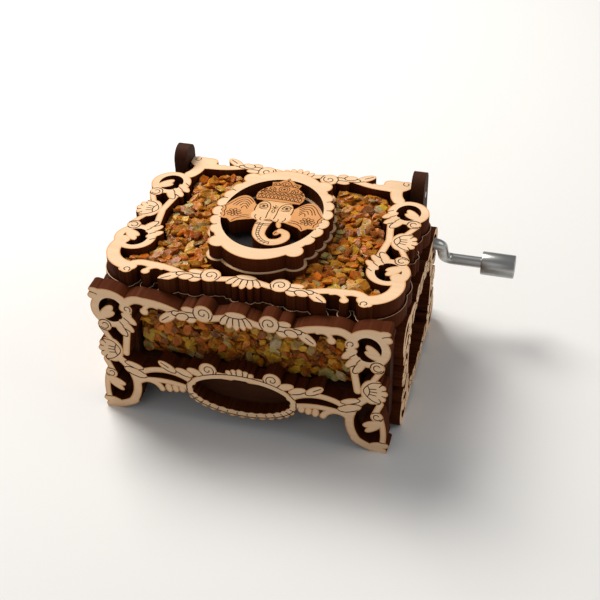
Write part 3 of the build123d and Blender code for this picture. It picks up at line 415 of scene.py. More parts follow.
        top = self.OVAL_RZ + self.OVAL_BAND
        motifs = [
            *spot.bow(out(12.4, 2.0), out(20.0, 4.4), out(28.0, 0.8), 1.7, scored=False),
            *spot.bow(out(27.6, -2.2), out(24.0, 0.4), out(20.7, -1.9), 1.7, scored=False),
        ]
        for step in (2, 1, 0):
            motifs += spot.petal(out(15.5 + 1.8 * step, 0.3),
                                 out(15.2 + 1.7 * step, -2.0 - 0.3 * step), 1.9)
        motifs += spot.bow(out(13.2, -0.3), out(19.5, 0.8), out(27.4, -0.4), 1.6, scored=False)
        ticks = []
        for bead in range(self.OVAL_BEADS):
            a = math.radians(-90 + 66 * bead / (self.OVAL_BEADS - 1))
            motifs += spot.ball(((self.OVAL_RX + 0.9) * math.cos(a),
                                 (self.OVAL_RZ + 0.9) * math.sin(a)), 1.15, scored=False)
            b = a + math.radians(5.5)
            ends = [spot.at(((self.OVAL_RX + r) * math.cos(b), (self.OVAL_RZ + r) * math.sin(b)))
                    for r in (0.45, 2.1)]
            ticks.append(ribbon(np.linspace(ends[0], ends[1], 4), LINE))
        self.ticks += ticks
        motifs += [
            *spot.petal(out(16.4, 4.2), out(20.9, 7.2), 2.4, vein=True),
            *spot.petal(out(12.2, top - 2.8), out(16.6, top - 1.1), 2.2),
            *spot.petal(out(9.4, top - 1.9), out(13.6, top - 0.5), 2.2),
            *spot.bar(out(2.4, top - 1.0), out(6.0, top - 0.9), 1.9, scored=False),
            *spot.ball(out(8.1, top + 0.1), 2.3, curl=-1.0),
            *spot.petal((1.0, top - 1.0), (3.5, top + 1.0), 1.9),
            *spot.petal((0.5, top - 1.0), (1.9, top + 1.7), 1.9),
        ]
        return motifs

    def oval_frame(self) -> Motif:
        """The oval frame's plain inner band."""
        c = (0.0, self.OVAL_V)
        return Spot().oval(c, self.OVAL_RX + self.OVAL_BAND, self.OVAL_RZ + self.OVAL_BAND,
                           hole=ellipse(c, self.OVAL_RX, self.OVAL_RZ))

    @staticmethod
    def corner_leaf(ring: Spot) -> list[Motif]:
        """The lobe and the band at the outer corner of a ring, with the line between."""
        lobe = ring.petal((-1.6, 4.4), (-5.6, 3.4), 2.6, scored=False)
        band = ring.bow((-4.1, 4.2), (-0.2, 5.0), (3.4, 3.2), 2.2, scored=False)
        for motif in (*lobe, *band):
            motif.lines = [ribbon(ring.path([(-5.3, 4.7), (-4.2, 4.6), (-3.2, 4.2)]), LINE)]
        return [*lobe, *band]

    def front(self) -> list[Motif]:
        """The front fretwork, in X and Z."""
        reach = (BOX.half - 8.6) / self.REACH
        motifs = []
        for side in (-1, 1):
            motifs += self.oval_rail(Spot(0, self.OVAL_V, side), reach)
        top = self.OVAL_RZ + self.OVAL_BAND
        motifs += Spot(0, self.OVAL_V).petal((0.0, top - 0.8), (0.0, top + 2.1), 2.0)
        motifs.append(self.oval_frame())
        for motif in motifs:
            motif.lines = motif.lines + self.ticks
        for side in (-1, 1):
            ring = Spot(side * (BOX.half - self.COLUMN_U), BOX.front_top - self.RING_V, -side)
            shell = Spot(side * (BOX.half - self.COLUMN_U + 1.5), BOX.front_top - self.SHELL_V,
                         -side)
            motifs += [
                *self.column_waist(ring, self.SHELL_V - self.RING_V),
                *self.foot_column(shell, BOX.front_top - self.SHELL_V + BOX.foot_cut),
                *self.side_shell(shell),
                *self.ring_scroll(ring),
                *ring.petal((-1.8, 4.8), (-5.2, 5.6), 1.9, scored=False),
                *self.corner_leaf(ring),
                *self.scroll_rail(Spot(0, BOX.front_top, side), reach),
            ]
        return motifs + self.rail_middle(Spot(0, BOX.front_top))

    def panel(self, middle: float, half: float, height: float) -> list[Motif]:
        """A side or back fretwork: a ring in each corner and a rail along both edges."""
        reach = (half - 7.4) / self.REACH
        motifs = []
        for side in (-1, 1):
            column = middle + side * (half - self.RING_R)
            upper = Spot(column, height - self.RING_R, -side)
            lower = Spot(column, self.RING_R - BOX.foot_cut, -side, -1)
            motifs += [
                *upper.bow((3.6, -5.2), (2.6, self.RING_R - height / 2),
                           (3.6, 2 * self.RING_R + 5.2 - height), 1.8, scored=False),
                *self.side_shell(Spot(column + side * 1.2, height / 2, -side, 0.8)),
                *self.ring_scroll(upper),
                *self.ring_scroll(lower),
                *self.scroll_rail(Spot(middle, height - 1.2, side), reach),
                *self.scroll_rail(Spot(middle, 1.2, side, -0.9), reach),
            ]
        return (motifs + self.rail_middle(Spot(middle, height - 1.2))
                + self.rail_middle(Spot(middle, 1.2, 1, -0.9)))

    def lid(self, grow: float = 0.0, score: float = SCORE) -> list[Motif]:
        """The lid's border, in X and Y, grown outwards where asked."""
        reach = (BOX.lid_half - 7.4) / self.REACH
        front, back = BOX.front_rail, BOX.back_rail
        motifs = []
        for side in (-1, 1):
            corner = Spot(side * BOX.lid_half, front, -side, 1, grow, score)
            hinge = Spot(side * BOX.lid_inner_x, BOX.pin_y, -side, 1, grow, score)
            motifs += corner.bow((2.6, 7.6), (2.4, 1.2), (8.4, -2.6), 3.4, scored=False)
            motifs += hinge.bow((1.9, -7.4), (3.2, -4.0), (2.6, -0.2), 3.2, scored=False)
            motifs += hinge.bar((2.0, 0.1), (5.4, 0.1), 3.8, scored=False)
            for end, rail_y in ((-1, front), (1, back)):
                ring = Spot(side * (BOX.lid_half - self.COLUMN_U),
                            BOX.lid_mid + BOX.lid_ring * end, -side, end, grow, score)
                motifs += self.column_waist(ring, BOX.lid_ring)
                motifs += self.ring_scroll(ring)
                motifs += self.scroll_rail(Spot(0, rail_y, side, -end, grow, score), reach)
            motifs += self.side_shell(Spot(side * (BOX.lid_half - self.COLUMN_U + 1.2),
                                           BOX.lid_mid, -side, 1, grow, score))
        return (motifs + self.rail_middle(Spot(0, front, 1, 1, grow, score))
                + self.rail_middle(Spot(0, back, 1, -1, grow, score)))

    def medallion(self, grow: float, hole: Optional[np.ndarray] = None) -> list[Motif]:
        """The medallion's scalloped ring, grown outwards by a step.

        Args:
            grow: the step.
            hole: its opening.
        Returns:
            The motifs: an oval, six scallops on each side and a lobe at each corner.
        """
        rx = BOX.med_rx + BOX.ring_band
        ry = BOX.med_ry + BOX.ring_band + 2.0
        spot = Spot(grow=grow)
        motifs = [spot.oval((0.0, BOX.med_y), rx - 0.9, ry, scored=False)]
        notches = []
        angles = np.radians(self.SCALLOP_SPAN * (np.linspace(0, 1, self.SCALLOPS) - 0.5))
        inset = self.SCALLOP_R - 0.1
        for side in (-1, 1):
            for a in angles:
                place = (side * (rx - inset) * math.cos(a),
                         BOX.med_y + (ry - inset) * math.sin(a))
                motifs.append(spot.oval(place, self.SCALLOP_R, self.SCALLOP_R, scored=False))
            for a in (angles[1:] + angles[:-1]) / 2:
                ends = [(side * (rx + r) * math.cos(a), BOX.med_y + (ry + r) * math.sin(a))
                        for r in (grow, grow - self.NOTCH)]
                notches.append(ribbon(np.linspace(ends[0], ends[1], 5), LINE))
            for lobe in (self.LOBE[1], -self.LOBE[1]):
                motifs.append(spot.oval((side * self.LOBE[0], BOX.med_y + lobe), self.LOBE_R,
                                        self.LOBE_R, scored=False))
        for motif in motifs:
            motif.lines, motif.hole = notches, hole
        return motifs


class ElephantHead:
    """A festival elephant's head in the traditional manner, in the medallion's plane."""

    EAR = ((2.5, -1.5), (3.6, 0.5), (5.9, 4.2), (7.3, 5.8), (8.7, 6.3), (10.1, 5.5),
           (11.4, 3.5), (12.5, 1.2), (13.5, 0.2), (12.75, -0.6), (13.1, -1.4), (12.3, -2.2),
           (12.8, -3.0), (12.1, -3.8), (12.4, -4.8), (10.3, -4.9), (9.0, -6.3), (7.8, -5.1),
           (5.6, -4.2), (3.8, -3.6))
    CROWN = ((5.6, 3.6), (6.2, 5.2), (6.2, 7.0), (5.5, 8.6), (4.4, 9.8), (3.5, 10.6),
             (3.9, 12.4), (2.2, 12.9), (1.3, 13.9), (0.6, 14.2), (0.0, 15.2))
    PALE = 0.08
    TAN = 0.16
    BROWN = 0.24
    CROWN_LIFT = 1.5
    EYE_LIFT = 1.0

    def __init__(self, spot: Spot, width: float = 0.24) -> None:
        """Keeps the frame whose origin is the middle of the head, and the lines' width."""
        self.spot = spot
        self.width = width

    def mirrored(self, side: float, lift: float = 0.0) -> "ElephantHead":
        """The same head with its frame flipped where side is -1, and lifted."""
        s = self.spot
        return ElephantHead(Spot(s.u, s.v + lift, s.du * side, s.dv), self.width)

    def line(self, *points: Point) -> np.ndarray:
        """A thin engraved line through points."""
        return ribbon(self.spot.path(points), self.width)

    def dot(self, centre: Point, rx: float, ry: float) -> np.ndarray:
        """A filled engraved spot."""
        return ellipse(self.spot.at(centre), rx, ry, step=0.25)

    def ring_line(self, centre: Point, rx: float, ry: float, turn: float = 0.0
                  ) -> list[np.ndarray]:
        """A closed engraved oval, as two open halves."""
        out = []
        for start in (0.0, math.pi):
            a = np.linspace(start, start + math.pi, 12)
            u, v = rx * np.cos(a), ry * np.sin(a)
            c, s = math.cos(turn), math.sin(turn)
            pts = [self.spot.at((centre[0] + x * c - y * s, centre[1] + x * s + y * c))
                   for x, y in zip(u, v)]
            out.append(ribbon(np.array(pts), self.width * 0.85))
        return out

    def plate(self, outline: np.ndarray, tone: float) -> Motif:
        """A flat piece with a burnt rim inside its outline."""
        away = outline - outline.mean(0)
        away /= np.linalg.norm(away, axis=1, keepdims=True)
        return Motif(outline, outline - away * self.width, tone=tone)

    def ear(self, side: float) -> list[Motif]:
        """One ear, with its folded rim, its flower and its fringe."""
        part = self.mirrored(side)
        top = part.spot.path(self.EAR[:9])
        fringe = np.array([part.spot.at(p) for p in self.EAR[9:]])
        body = self.plate(np.concatenate([top, fringe]), self.TAN)
        part = self.mirrored(1.1 * side)
        body.lines = [
            part.line((5.4, 3.6), (6.7, 5.1), (8.0, 5.4), (9.2, 4.3), (10.2, 2.4), (11.4, 0.5)),
            part.line((5.7, 2.9), (6.9, 4.3), (8.0, 4.4), (8.9, 3.3), (9.7, 1.4)),
            part.line((5.9, 2.1), (6.9, 3.4), (7.9, 3.5), (8.6, 2.5), (9.0, 1.2)),
            part.line((6.0, 1.3), (6.9, 2.5), (7.6, 2.5), (8.1, 1.4)),
            part.line((6.1, 0.4), (6.8, 1.5), (7.3, 1.2), (7.5, 0.3)),
            part.line((11.2, 0.4), (10.8, -0.9), (10.9, -2.0), (10.4, -3.0), (10.4, -4.1)),
            part.line((4.6, -3.3), (6.2, -3.4), (7.5, -4.3), (8.2, -5.6)),
            part.line((5.0, -2.4), (6.1, -2.5), (7.0, -3.1)),
        ]
        flower = (8.6, -1.9)
        for petal in range(8):
            a = math.radians(45 * petal)
            place = (flower[0] + 1.15 * math.cos(a), flower[1] + 1.15 * math.sin(a))
            body.lines += part.ring_line(place, 0.58, 0.34, a)
        body.lines.append(part.dot(flower, 0.35, 0.35))
        return [body]

    def trunk(self) -> list[Motif]:
        """The trunk, tapering into its curl round a sweet, with its painted band."""
        s = self.spot
        points = [(-0.5, -1.4), (-0.95, -4.4), (-1.1, -7.4), (-0.5, -10.2), (1.8, -12.3),
                  (4.4, -11.9), (5.9, -10.0), (5.5, -8.0), (4.1, -7.2)]
        path = s.path(points)
        t = np.linspace(0, 1, len(path))
        width = 4.3 - 2.4 * t ** 0.8
        trunk = Motif(ribbon(path, width), ribbon(path, width - 2 * self.width), scored=False,
                      tone=self.PALE * 0.5)
        along = np.gradient(path, axis=0)
        along /= np.linalg.norm(along, axis=1, keepdims=True)
        across = np.stack([-along[:, 1], along[:, 0]], 1)
        end = int(0.62 * len(path))
        for offset in (-0.02, 0.2):
            trunk.lines.append(ribbon((path - across * (width * offset)[:, None])[8:end],
                                      self.width * 0.8))
        for k in range(10, end, 2):
            band = (-0.02, 0.2) if k < end * 0.72 else (0.06, 0.34)
            ends = [path[k] - across[k] * width[k] * offset for offset in band]
            trunk.lines.append(ribbon(np.linspace(*ends, 4), self.width * 0.8))
        for v in (-4.9, -5.5):
            trunk.lines.append(self.line((-2.8, v + 0.1), (-1.0, v - 0.25), (0.9, v + 0.1)))
        sweet = s.petal((3.9, -6.9), (3.0, -9.3), 1.7, tone=self.TAN, scored=False)
        sweet[0].lines = [self.line((3.9, -7.8), (3.2, -8.0), (3.0, -8.6))]
        return [*sweet, trunk]

    def face(self) -> list[Motif]:
        """Forehead, cheeks, arched brows, eyes and tusk."""
        s = self.spot
        high = self.mirrored(1, self.EYE_LIFT)
        brow = s.oval(s.at((0, 1.4)), 5.0, 5.2, tone=self.PALE)
        cheeks = [s.oval(s.at((side * 2.6, -1.4)), 2.5, 2.5, scored=False, tone=self.PALE * 0.5)
                  for side in (-1, 1)]
        lines = [high.dot((0.0, 1.3), 0.42, 0.42), high.dot((0.0, 2.2), 0.2, 0.28),
                 self.line((-0.9, -3.4), (0.0, -3.1), (0.9, -3.4)),
                 *self.ring_line((0.0, -4.0), 0.5, 0.42), *high.ring_line((0.0, -0.2), 0.35, 0.7)]
        for side in (-1, 1):
            part = self.mirrored(side, self.EYE_LIFT)
            lines += [
                part.line((1.0, -3.6), (1.15, -1.2), (1.1, 1.2), (1.8, 3.0), (3.1, 3.7),
                          (4.3, 3.0), (4.8, 1.7)),
                part.line((1.8, 1.2), (2.4, 2.5), (3.3, 2.7), (4.2, 2.0)),
                *part.ring_line((3.0, 1.45), 1.05, 0.58, 0.12),
                part.dot((3.0, 1.5), 0.42, 0.4),
                part.line((1.9, 0.4), (3.0, 0.2), (4.0, 0.8)),
                part.line((1.7, -5.0), (2.3, -4.3), (2.2, -3.5)),
                part.line((3.4, -4.3), (3.9, -3.4), (3.8, -2.6)),
                part.dot((0.55, 1.8), 0.2, 0.2), part.dot((0.6, 0.9), 0.17, 0.17),
            ]
        for motif in (brow, *cheeks):
            motif.lines = lines
        tusk = s.petal((2.4, -3.4), (3.4, -6.2), 1.3, tone=self.TAN * 0.5)
        return [*tusk, brow, *cheeks]

    def crown(self) -> list[Motif]:
        """The tall headdress: rows of beads, a rosette, a zigzag and a pointed top."""
        high = self.mirrored(1, self.CROWN_LIFT)
        s = high.spot
        half = [s.at(p) for p in self.CROWN]
        other = [(2 * s.u - u, v) for u, v in half[-2::-1]]
        crown = self.plate(np.array(half + other), self.BROWN)
        rosette = (0.0, 9.6)
        lines = [high.dot(rosette, 0.35, 0.35)]
        for radius in (0.85, 1.4):
            lines += high.ring_line(rosette, radius, radius)
        rows = ((5.5, 5.6, 11, 0.38, 0.72), (7.4, 5.5, 11, 0.42, 0.42), (8.7, 5.0, 9, 0.36, 0.42))
        for v, reach, count, rx, ry in rows:
            for u in reach * 0.94 * np.linspace(-1, 1, count):
                if math.hypot(u, v - rosette[1]) > 1.7:
                    lines += high.ring_line((u, v), rx, ry)
        for u in 5.1 * np.linspace(-1, 1, 10):
            lines.append(high.dot((u, 6.6), 0.17, 0.22))
        for v, reach, rise in ((4.4, 5.6, 0.5), (6.35, 5.9, 0.35), (8.0, 5.6, 0.2),
                               (10.9, 3.2, 0.4)):
            lines.append(high.line((-reach, v), (-reach / 2, v + rise * 0.75), (0, v + rise),
                                   (reach / 2, v + rise * 0.75), (reach, v)))
        for side in (-1, 1):
            part = self.mirrored(side, self.CROWN_LIFT)
            lines += [part.line((2.0, 9.3), (3.0, 10.2), (3.8, 9.6), (3.2, 9.0), (2.7, 9.5)),
                      part.line((4.4, 9.2), (5.0, 8.4), (5.5, 7.4)),
                      part.line((0.0, 13.6), (1.0, 12.8), (1.6, 11.6), (2.2, 12.3), (3.3, 12.0)),
                      part.line((0.7, 11.4), (1.2, 12.1), (2.0, 11.3)),
                      part.line((2.4, 11.2), (2.9, 11.8), (3.3, 11.1))]
        lines += [*high.ring_line((0.0, 12.2), 0.5, 0.6), high.dot((0.0, 13.9), 0.2, 0.4)]
        crown.lines = lines
        return [crown]

    def motifs(self) -> list[Motif]:
        """The whole head, lowest piece first."""
        return [*self.ear(-1), *self.ear(1), *self.trunk(), *self.face(), *self.crown()]


# ---- meshes ---------------------------------------------------------------------------
def inside(points: np.ndarray, outline: np.ndarray) -> np.ndarray:
    """Which points have a winding number other than nought round the outline."""
    found = np.zeros(len(points), bool)
    lo, hi = outline.min(0), outline.max(0)
    near = np.flatnonzero(((points >= lo) & (points <= hi)).all(1))
    if not len(near):
        return found
    x, y = points[near, 0][:, None], points[near, 1][:, None]
    x0, y0 = outline[:, 0][None], outline[:, 1][None]
    nxt = np.roll(outline, -1, 0)
    x1, y1 = nxt[:, 0][None], nxt[:, 1][None]
    crosses = (y0 <= y) != (y1 <= y)
    span = np.where(y1 == y0, 1.0, y1 - y0)
    right = x < x0 + (y - y0) * (x1 - x0) / span
    winding = np.where(crosses & right, np.where(y1 > y0, 1, -1), 0).sum(1)
    found[near] = winding != 0
    return found


@dataclass(frozen=True)
class Sheet:
    """The plane of a panel's outer face."""

    origin: tuple[float, float, float]
    u_axis: tuple[float, float, float]
    v_axis: tuple[float, float, float]
    normal: tuple[float, float, float]

    def place(self, flat: np.ndarray, height: np.ndarray) -> np.ndarray:
        """Points in space, in metres: origin plus u, v and height along the normal."""
        o, u, v, n = (np.array(a, float) for a in (self.origin, self.u_axis, self.v_axis,
                                                   self.normal))
        return (o + flat[:, :1] * u + flat[:, 1:2] * v + height[:, None] * n) * MM

    @property
    def flipped(self) -> bool:
        """Whether u, v and the normal are left-handed."""
        return float(np.dot(np.cross(self.u_axis, self.v_axis), self.normal)) < 0


def top_sheet(z: float) -> Sheet:
    """A level sheet that faces up."""
    return Sheet((0, 0, z), (1, 0, 0), (0, 1, 0), (0, 0, 1))


def make_mesh(name: str, points: np.ndarray, triangles: np.ndarray) -> bpy.types.Mesh:
    """A mesh of triangles from arrays.

    Args:
        name: the mesh's name.
        points: corners in metres, shape (n, 3).
        triangles: corner numbers, shape (m, 3).
    Returns:
        The mesh.
    """
    mesh = bpy.data.meshes.new(name)
    mesh.vertices.add(len(points))
    mesh.vertices.foreach_set("co", np.asarray(points, np.float32).ravel())
    mesh.loops.add(3 * len(triangles))
    mesh.loops.foreach_set("vertex_index", np.asarray(triangles, np.int32).ravel())
    mesh.polygons.add(len(triangles))
    mesh.polygons.foreach_set("loop_start", np.arange(0, 3 * len(triangles), 3, dtype=np.int32))
    mesh.update(calc_edges=True)
    mesh.validate()
    mesh.shade_flat()
    return mesh


def add_piece(mesh: bpy.types.Mesh, body: str, material: bpy.types.Material,
              stands_for: Sequence[str] = ()) -> bpy.types.Object:
    """Put a finished mesh in the scene as a piece.

    Args:
        mesh: the mesh, placed.
        body: the body that it rides on.
        material: its finish.
        stands_for: CAD nodes that it replaces.
    Returns:
        The object.
    """
    piece = bpy.data.objects.new(mesh.name, mesh)
    bpy.context.scene.collection.objects.link(piece)
    mesh.materials.append(material)
    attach(piece, body)
    if stands_for:
        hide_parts(*stands_for)
    LOG.info("%s: %d faces on %s", mesh.name, len(mesh.polygons), body)
    return piece


class Burn(float, Enum):
    """How far the laser has burnt a face: the value of a face's burn attribute."""

    NONE = 0.0
    RIM = 0.12
    SCORE = 0.6
    EDGE = 1.0
    BACK = 0.9


@dataclass
class CutPanel:
    """A sheet of plywood cut and scored by laser."""

    name: str
    motifs: list[Motif]
    sheet: Sheet
    thickness: float
    cuts: list[np.ndarray] = field(default_factory=list)
    depth: float = 0.22
    face_burn: float = Burn.NONE.value
    rim_burn: float = Burn.RIM.value

    def triangulate(self) -> tuple[np.ndarray, np.ndarray]:
        """Triangles whose edges follow every outline and line."""
        outlines = []
        for m in self.motifs:
            outlines += [m.outer, m.inner, *m.lines]
            if m.hole is not None:
                outlines.append(m.hole)
        outlines += self.cuts
        start, points, edges = 0, [], []
        for line in outlines:
            n = len(line)
            points.append(line)
            edges.append(np.stack([np.arange(n), np.roll(np.arange(n), -1)], 1) + start)
            start += n
        links = np.concatenate(edges).tolist()
        out = delaunay_2d_cdt([Vector(p) for p in np.concatenate(points).tolist()], links, [],
                              0, 1e-4, False)
        flat = np.array([tuple(v) for v in out[0]], float)
        tris = np.array([f for f in out[2] if len(f) == 3], int)
        p, q, r = flat[tris[:, 0]], flat[tris[:, 1]], flat[tris[:, 2]]
        area = (q[:, 0] - p[:, 0]) * (r[:, 1] - p[:, 1]) - (q[:, 1] - p[:, 1]) * (r[:, 0]
                                                                                  - p[:, 0])
        tris = np.where((area < 0)[:, None], tris[:, ::-1], tris)
        return flat, tris[np.abs(area) > 1e-7]

    def zones(self, centres: np.ndarray) -> tuple[np.ndarray, np.ndarray, np.ndarray]:
        """For each triangle: kept or not, engraved or not, and how far it is burnt."""
        count = np.zeros(len(centres), int)
        top = np.full(len(centres), -1)
        deep = np.zeros(len(centres), bool)
        for k, m in enumerate(self.motifs):
            covered = inside(centres, m.outer)
            if m.hole is not None:
                covered &= ~inside(centres, m.hole)
            count[covered] += 1
            top[covered] = k
            deep |= covered & inside(centres, m.inner)
        burn = np.where(deep, self.face_burn, self.rim_burn)
        groove = np.zeros(len(centres), bool)
        for k, m in enumerate(self.motifs):
            mine = np.flatnonzero(top == k)
            if not len(mine):
                continue
            here = centres[mine]
            burn[mine] += m.tone
            if m.scored:
                groove[mine[~inside(here, m.inner) & (count[mine] > 1)]] = True
            for line in m.lines:
                groove[mine[inside(here, line)]] = True
        kept = count > 0
        for cut in self.cuts:
            kept &= ~inside(centres, cut)
        burn[groove] = Burn.SCORE.value
        return kept, groove, burn

    def mesh(self) -> bpy.types.Mesh:
        """The solid sheet: scored top, flat back, and walls along every cut."""
        flat, tris = self.triangulate()
        kept, groove, burn = self.zones(flat[tris].mean(1))
        tris, groove, burn = tris[kept], groove[kept], burn[kept]
        n = len(flat)
        level = np.where(groove, 1, 0)
        heights = np.concatenate([np.zeros(n), np.full(n, -self.depth),
                                  np.full(n, -self.thickness)])
        spots = np.concatenate([flat, flat, flat])
        top = tris + (level * n)[:, None]
        back = tris[:, ::-1] + 2 * n
        a = tris.ravel()
        b = np.roll(tris, -1, 1).ravel()
        owner = np.repeat(np.arange(len(tris)), 3)
        key = np.minimum(a, b) * (n + 1) + np.maximum(a, b)
        order = np.argsort(key, kind="stable")
        key, a, b, owner = key[order], a[order], b[order], owner[order]
        first = np.flatnonzero(np.r_[True, key[1:] != key[:-1]])
        size = np.diff(np.r_[first, len(key)])
        lone = first[size == 1]
        walls = self.quads(a[lone] + level[owner[lone]] * n, b[lone] + level[owner[lone]] * n,
                           a[lone] + 2 * n, b[lone] + 2 * n)
        pair = first[size == 2]
        steps = pair[level[owner[pair]] != level[owner[pair + 1]]]
        high = np.where(level[owner[steps]] == 0, steps, steps + 1)
        sides = self.quads(a[high], b[high], a[high] + n, b[high] + n)
        faces = np.concatenate([top, back, walls, sides])
        value = np.concatenate([burn, np.full(len(back), Burn.BACK.value),
                                np.full(len(walls), Burn.EDGE.value),
                                np.full(len(sides), Burn.SCORE.value)])
        if self.sheet.flipped:
            faces = faces[:, ::-1]
        used, faces = np.unique(faces, return_inverse=True)
        faces = faces.reshape(-1, 3)
        points = self.sheet.place(spots[used], heights[used])
        mesh = make_mesh(self.name, points, faces)
        if len(mesh.polygons) == len(value):
            layer = mesh.attributes.new("burn", "FLOAT", "FACE")
            layer.data.foreach_set("value", value.astype(np.float32))
        else:
            raise RuntimeError(f"{self.name} lost {len(value) - len(mesh.polygons)} faces")
        return mesh

    @staticmethod
    def quads(a: np.ndarray, b: np.ndarray, c: np.ndarray, d: np.ndarray) -> np.ndarray:
        """Walls from edge a-b down to c-d, as two triangles each, facing away from a-b."""
        return np.concatenate([np.stack([a, c, b], 1), np.stack([b, c, d], 1)])


# ---- finishes -------------------------------------------------------------------------
Colour = tuple[float, float, float]


class Graph:
    """A node tree being wired: adds nodes and links with short calls."""

    def __init__(self, tree: bpy.types.NodeTree) -> None:
        """Keeps the tree."""
        self.tree = tree

    def node(self, kind: str, inputs: Optional[dict] = None, **settings: object
             ) -> bpy.types.Node:
        """Add a node.

        Args:
            kind: the node's type without its ShaderNode prefix.
            inputs: values or output sockets, by input name or number.
            settings: attributes of the node.
        Returns:
            The node.
        """
        made = self.tree.nodes.new("ShaderNode" + kind)
        for key, value in settings.items():
            setattr(made, key, value)
        for key, value in (inputs or {}).items():
            if isinstance(value, bpy.types.NodeSocket):
                self.tree.links.new(value, made.inputs[key])
            else:
                made.inputs[key].default_value = value
        return made

    def mix(self, factor: object, a: object, b: object, blend: str = "MIX"
            ) -> bpy.types.NodeSocket:
        """Mix two colours."""
        made = self.node("Mix", data_type="RGBA", blend_type=blend)
        for number, value in ((0, factor), (6, a), (7, b)):
            if isinstance(value, bpy.types.NodeSocket):
                self.tree.links.new(value, made.inputs[number])
            else:
                made.inputs[number].default_value = (
                    value if number == 0 or len(value) == 4 else (*value, 1.0))
        return made.outputs[2]

    def math(self, operation: str, a: object, b: object = 0.0, clamp: bool = False
             ) -> bpy.types.NodeSocket:
        """A sum, product or other operation on two numbers."""
        return self.node("Math", {0: a, 1: b}, operation=operation, use_clamp=clamp).outputs[0]

    def span(self, value: bpy.types.NodeSocket, low: float, high: float, to_low: float = 0.0,
             to_high: float = 1.0) -> bpy.types.NodeSocket:
        """Map a range of values to another, clamped."""
        return self.node("MapRange", {"Value": value, "From Min": low, "From Max": high,
                                      "To Min": to_low, "To Max": to_high}).outputs[0]

    def noise(self, vector: bpy.types.NodeSocket, scale: float, detail: float = 4.0,
              rough: float = 0.55, stretch: Optional[Colour] = None) -> bpy.types.NodeSocket:
        """Noise in space, stretched by a scale along each axis where asked."""
        if stretch is not None:
            vector = self.node("Mapping", {"Vector": vector, "Scale": stretch}).outputs[0]
        return self.node("TexNoise", {"Vector": vector, "Scale": scale, "Detail": detail,
                                      "Roughness": rough}).outputs["Fac"]


def new_group(name: str, inputs: Sequence[tuple], outputs: Sequence[tuple]
              ) -> tuple[bpy.types.NodeTree, Graph, bpy.types.Node, bpy.types.Node]:
    """An empty shader group with named sockets.

    Args:
        name: its name.
        inputs: name, socket kind and default of each input.
        outputs: name and socket kind of each output.
    Returns:
        The group, its graph, and its input and output nodes.
    """
    tree = bpy.data.node_groups.new(name, "ShaderNodeTree")
    for label, kind, value in inputs:
        made = tree.interface.new_socket(label, in_out="INPUT", socket_type="NodeSocket" + kind)
        if value is not None:
            made.default_value = value
    for label, kind in outputs:
        tree.interface.new_socket(label, in_out="OUTPUT", socket_type="NodeSocket" + kind)
    return tree, Graph(tree), tree.nodes.new("NodeGroupInput"), tree.nodes.new("NodeGroupOutput")


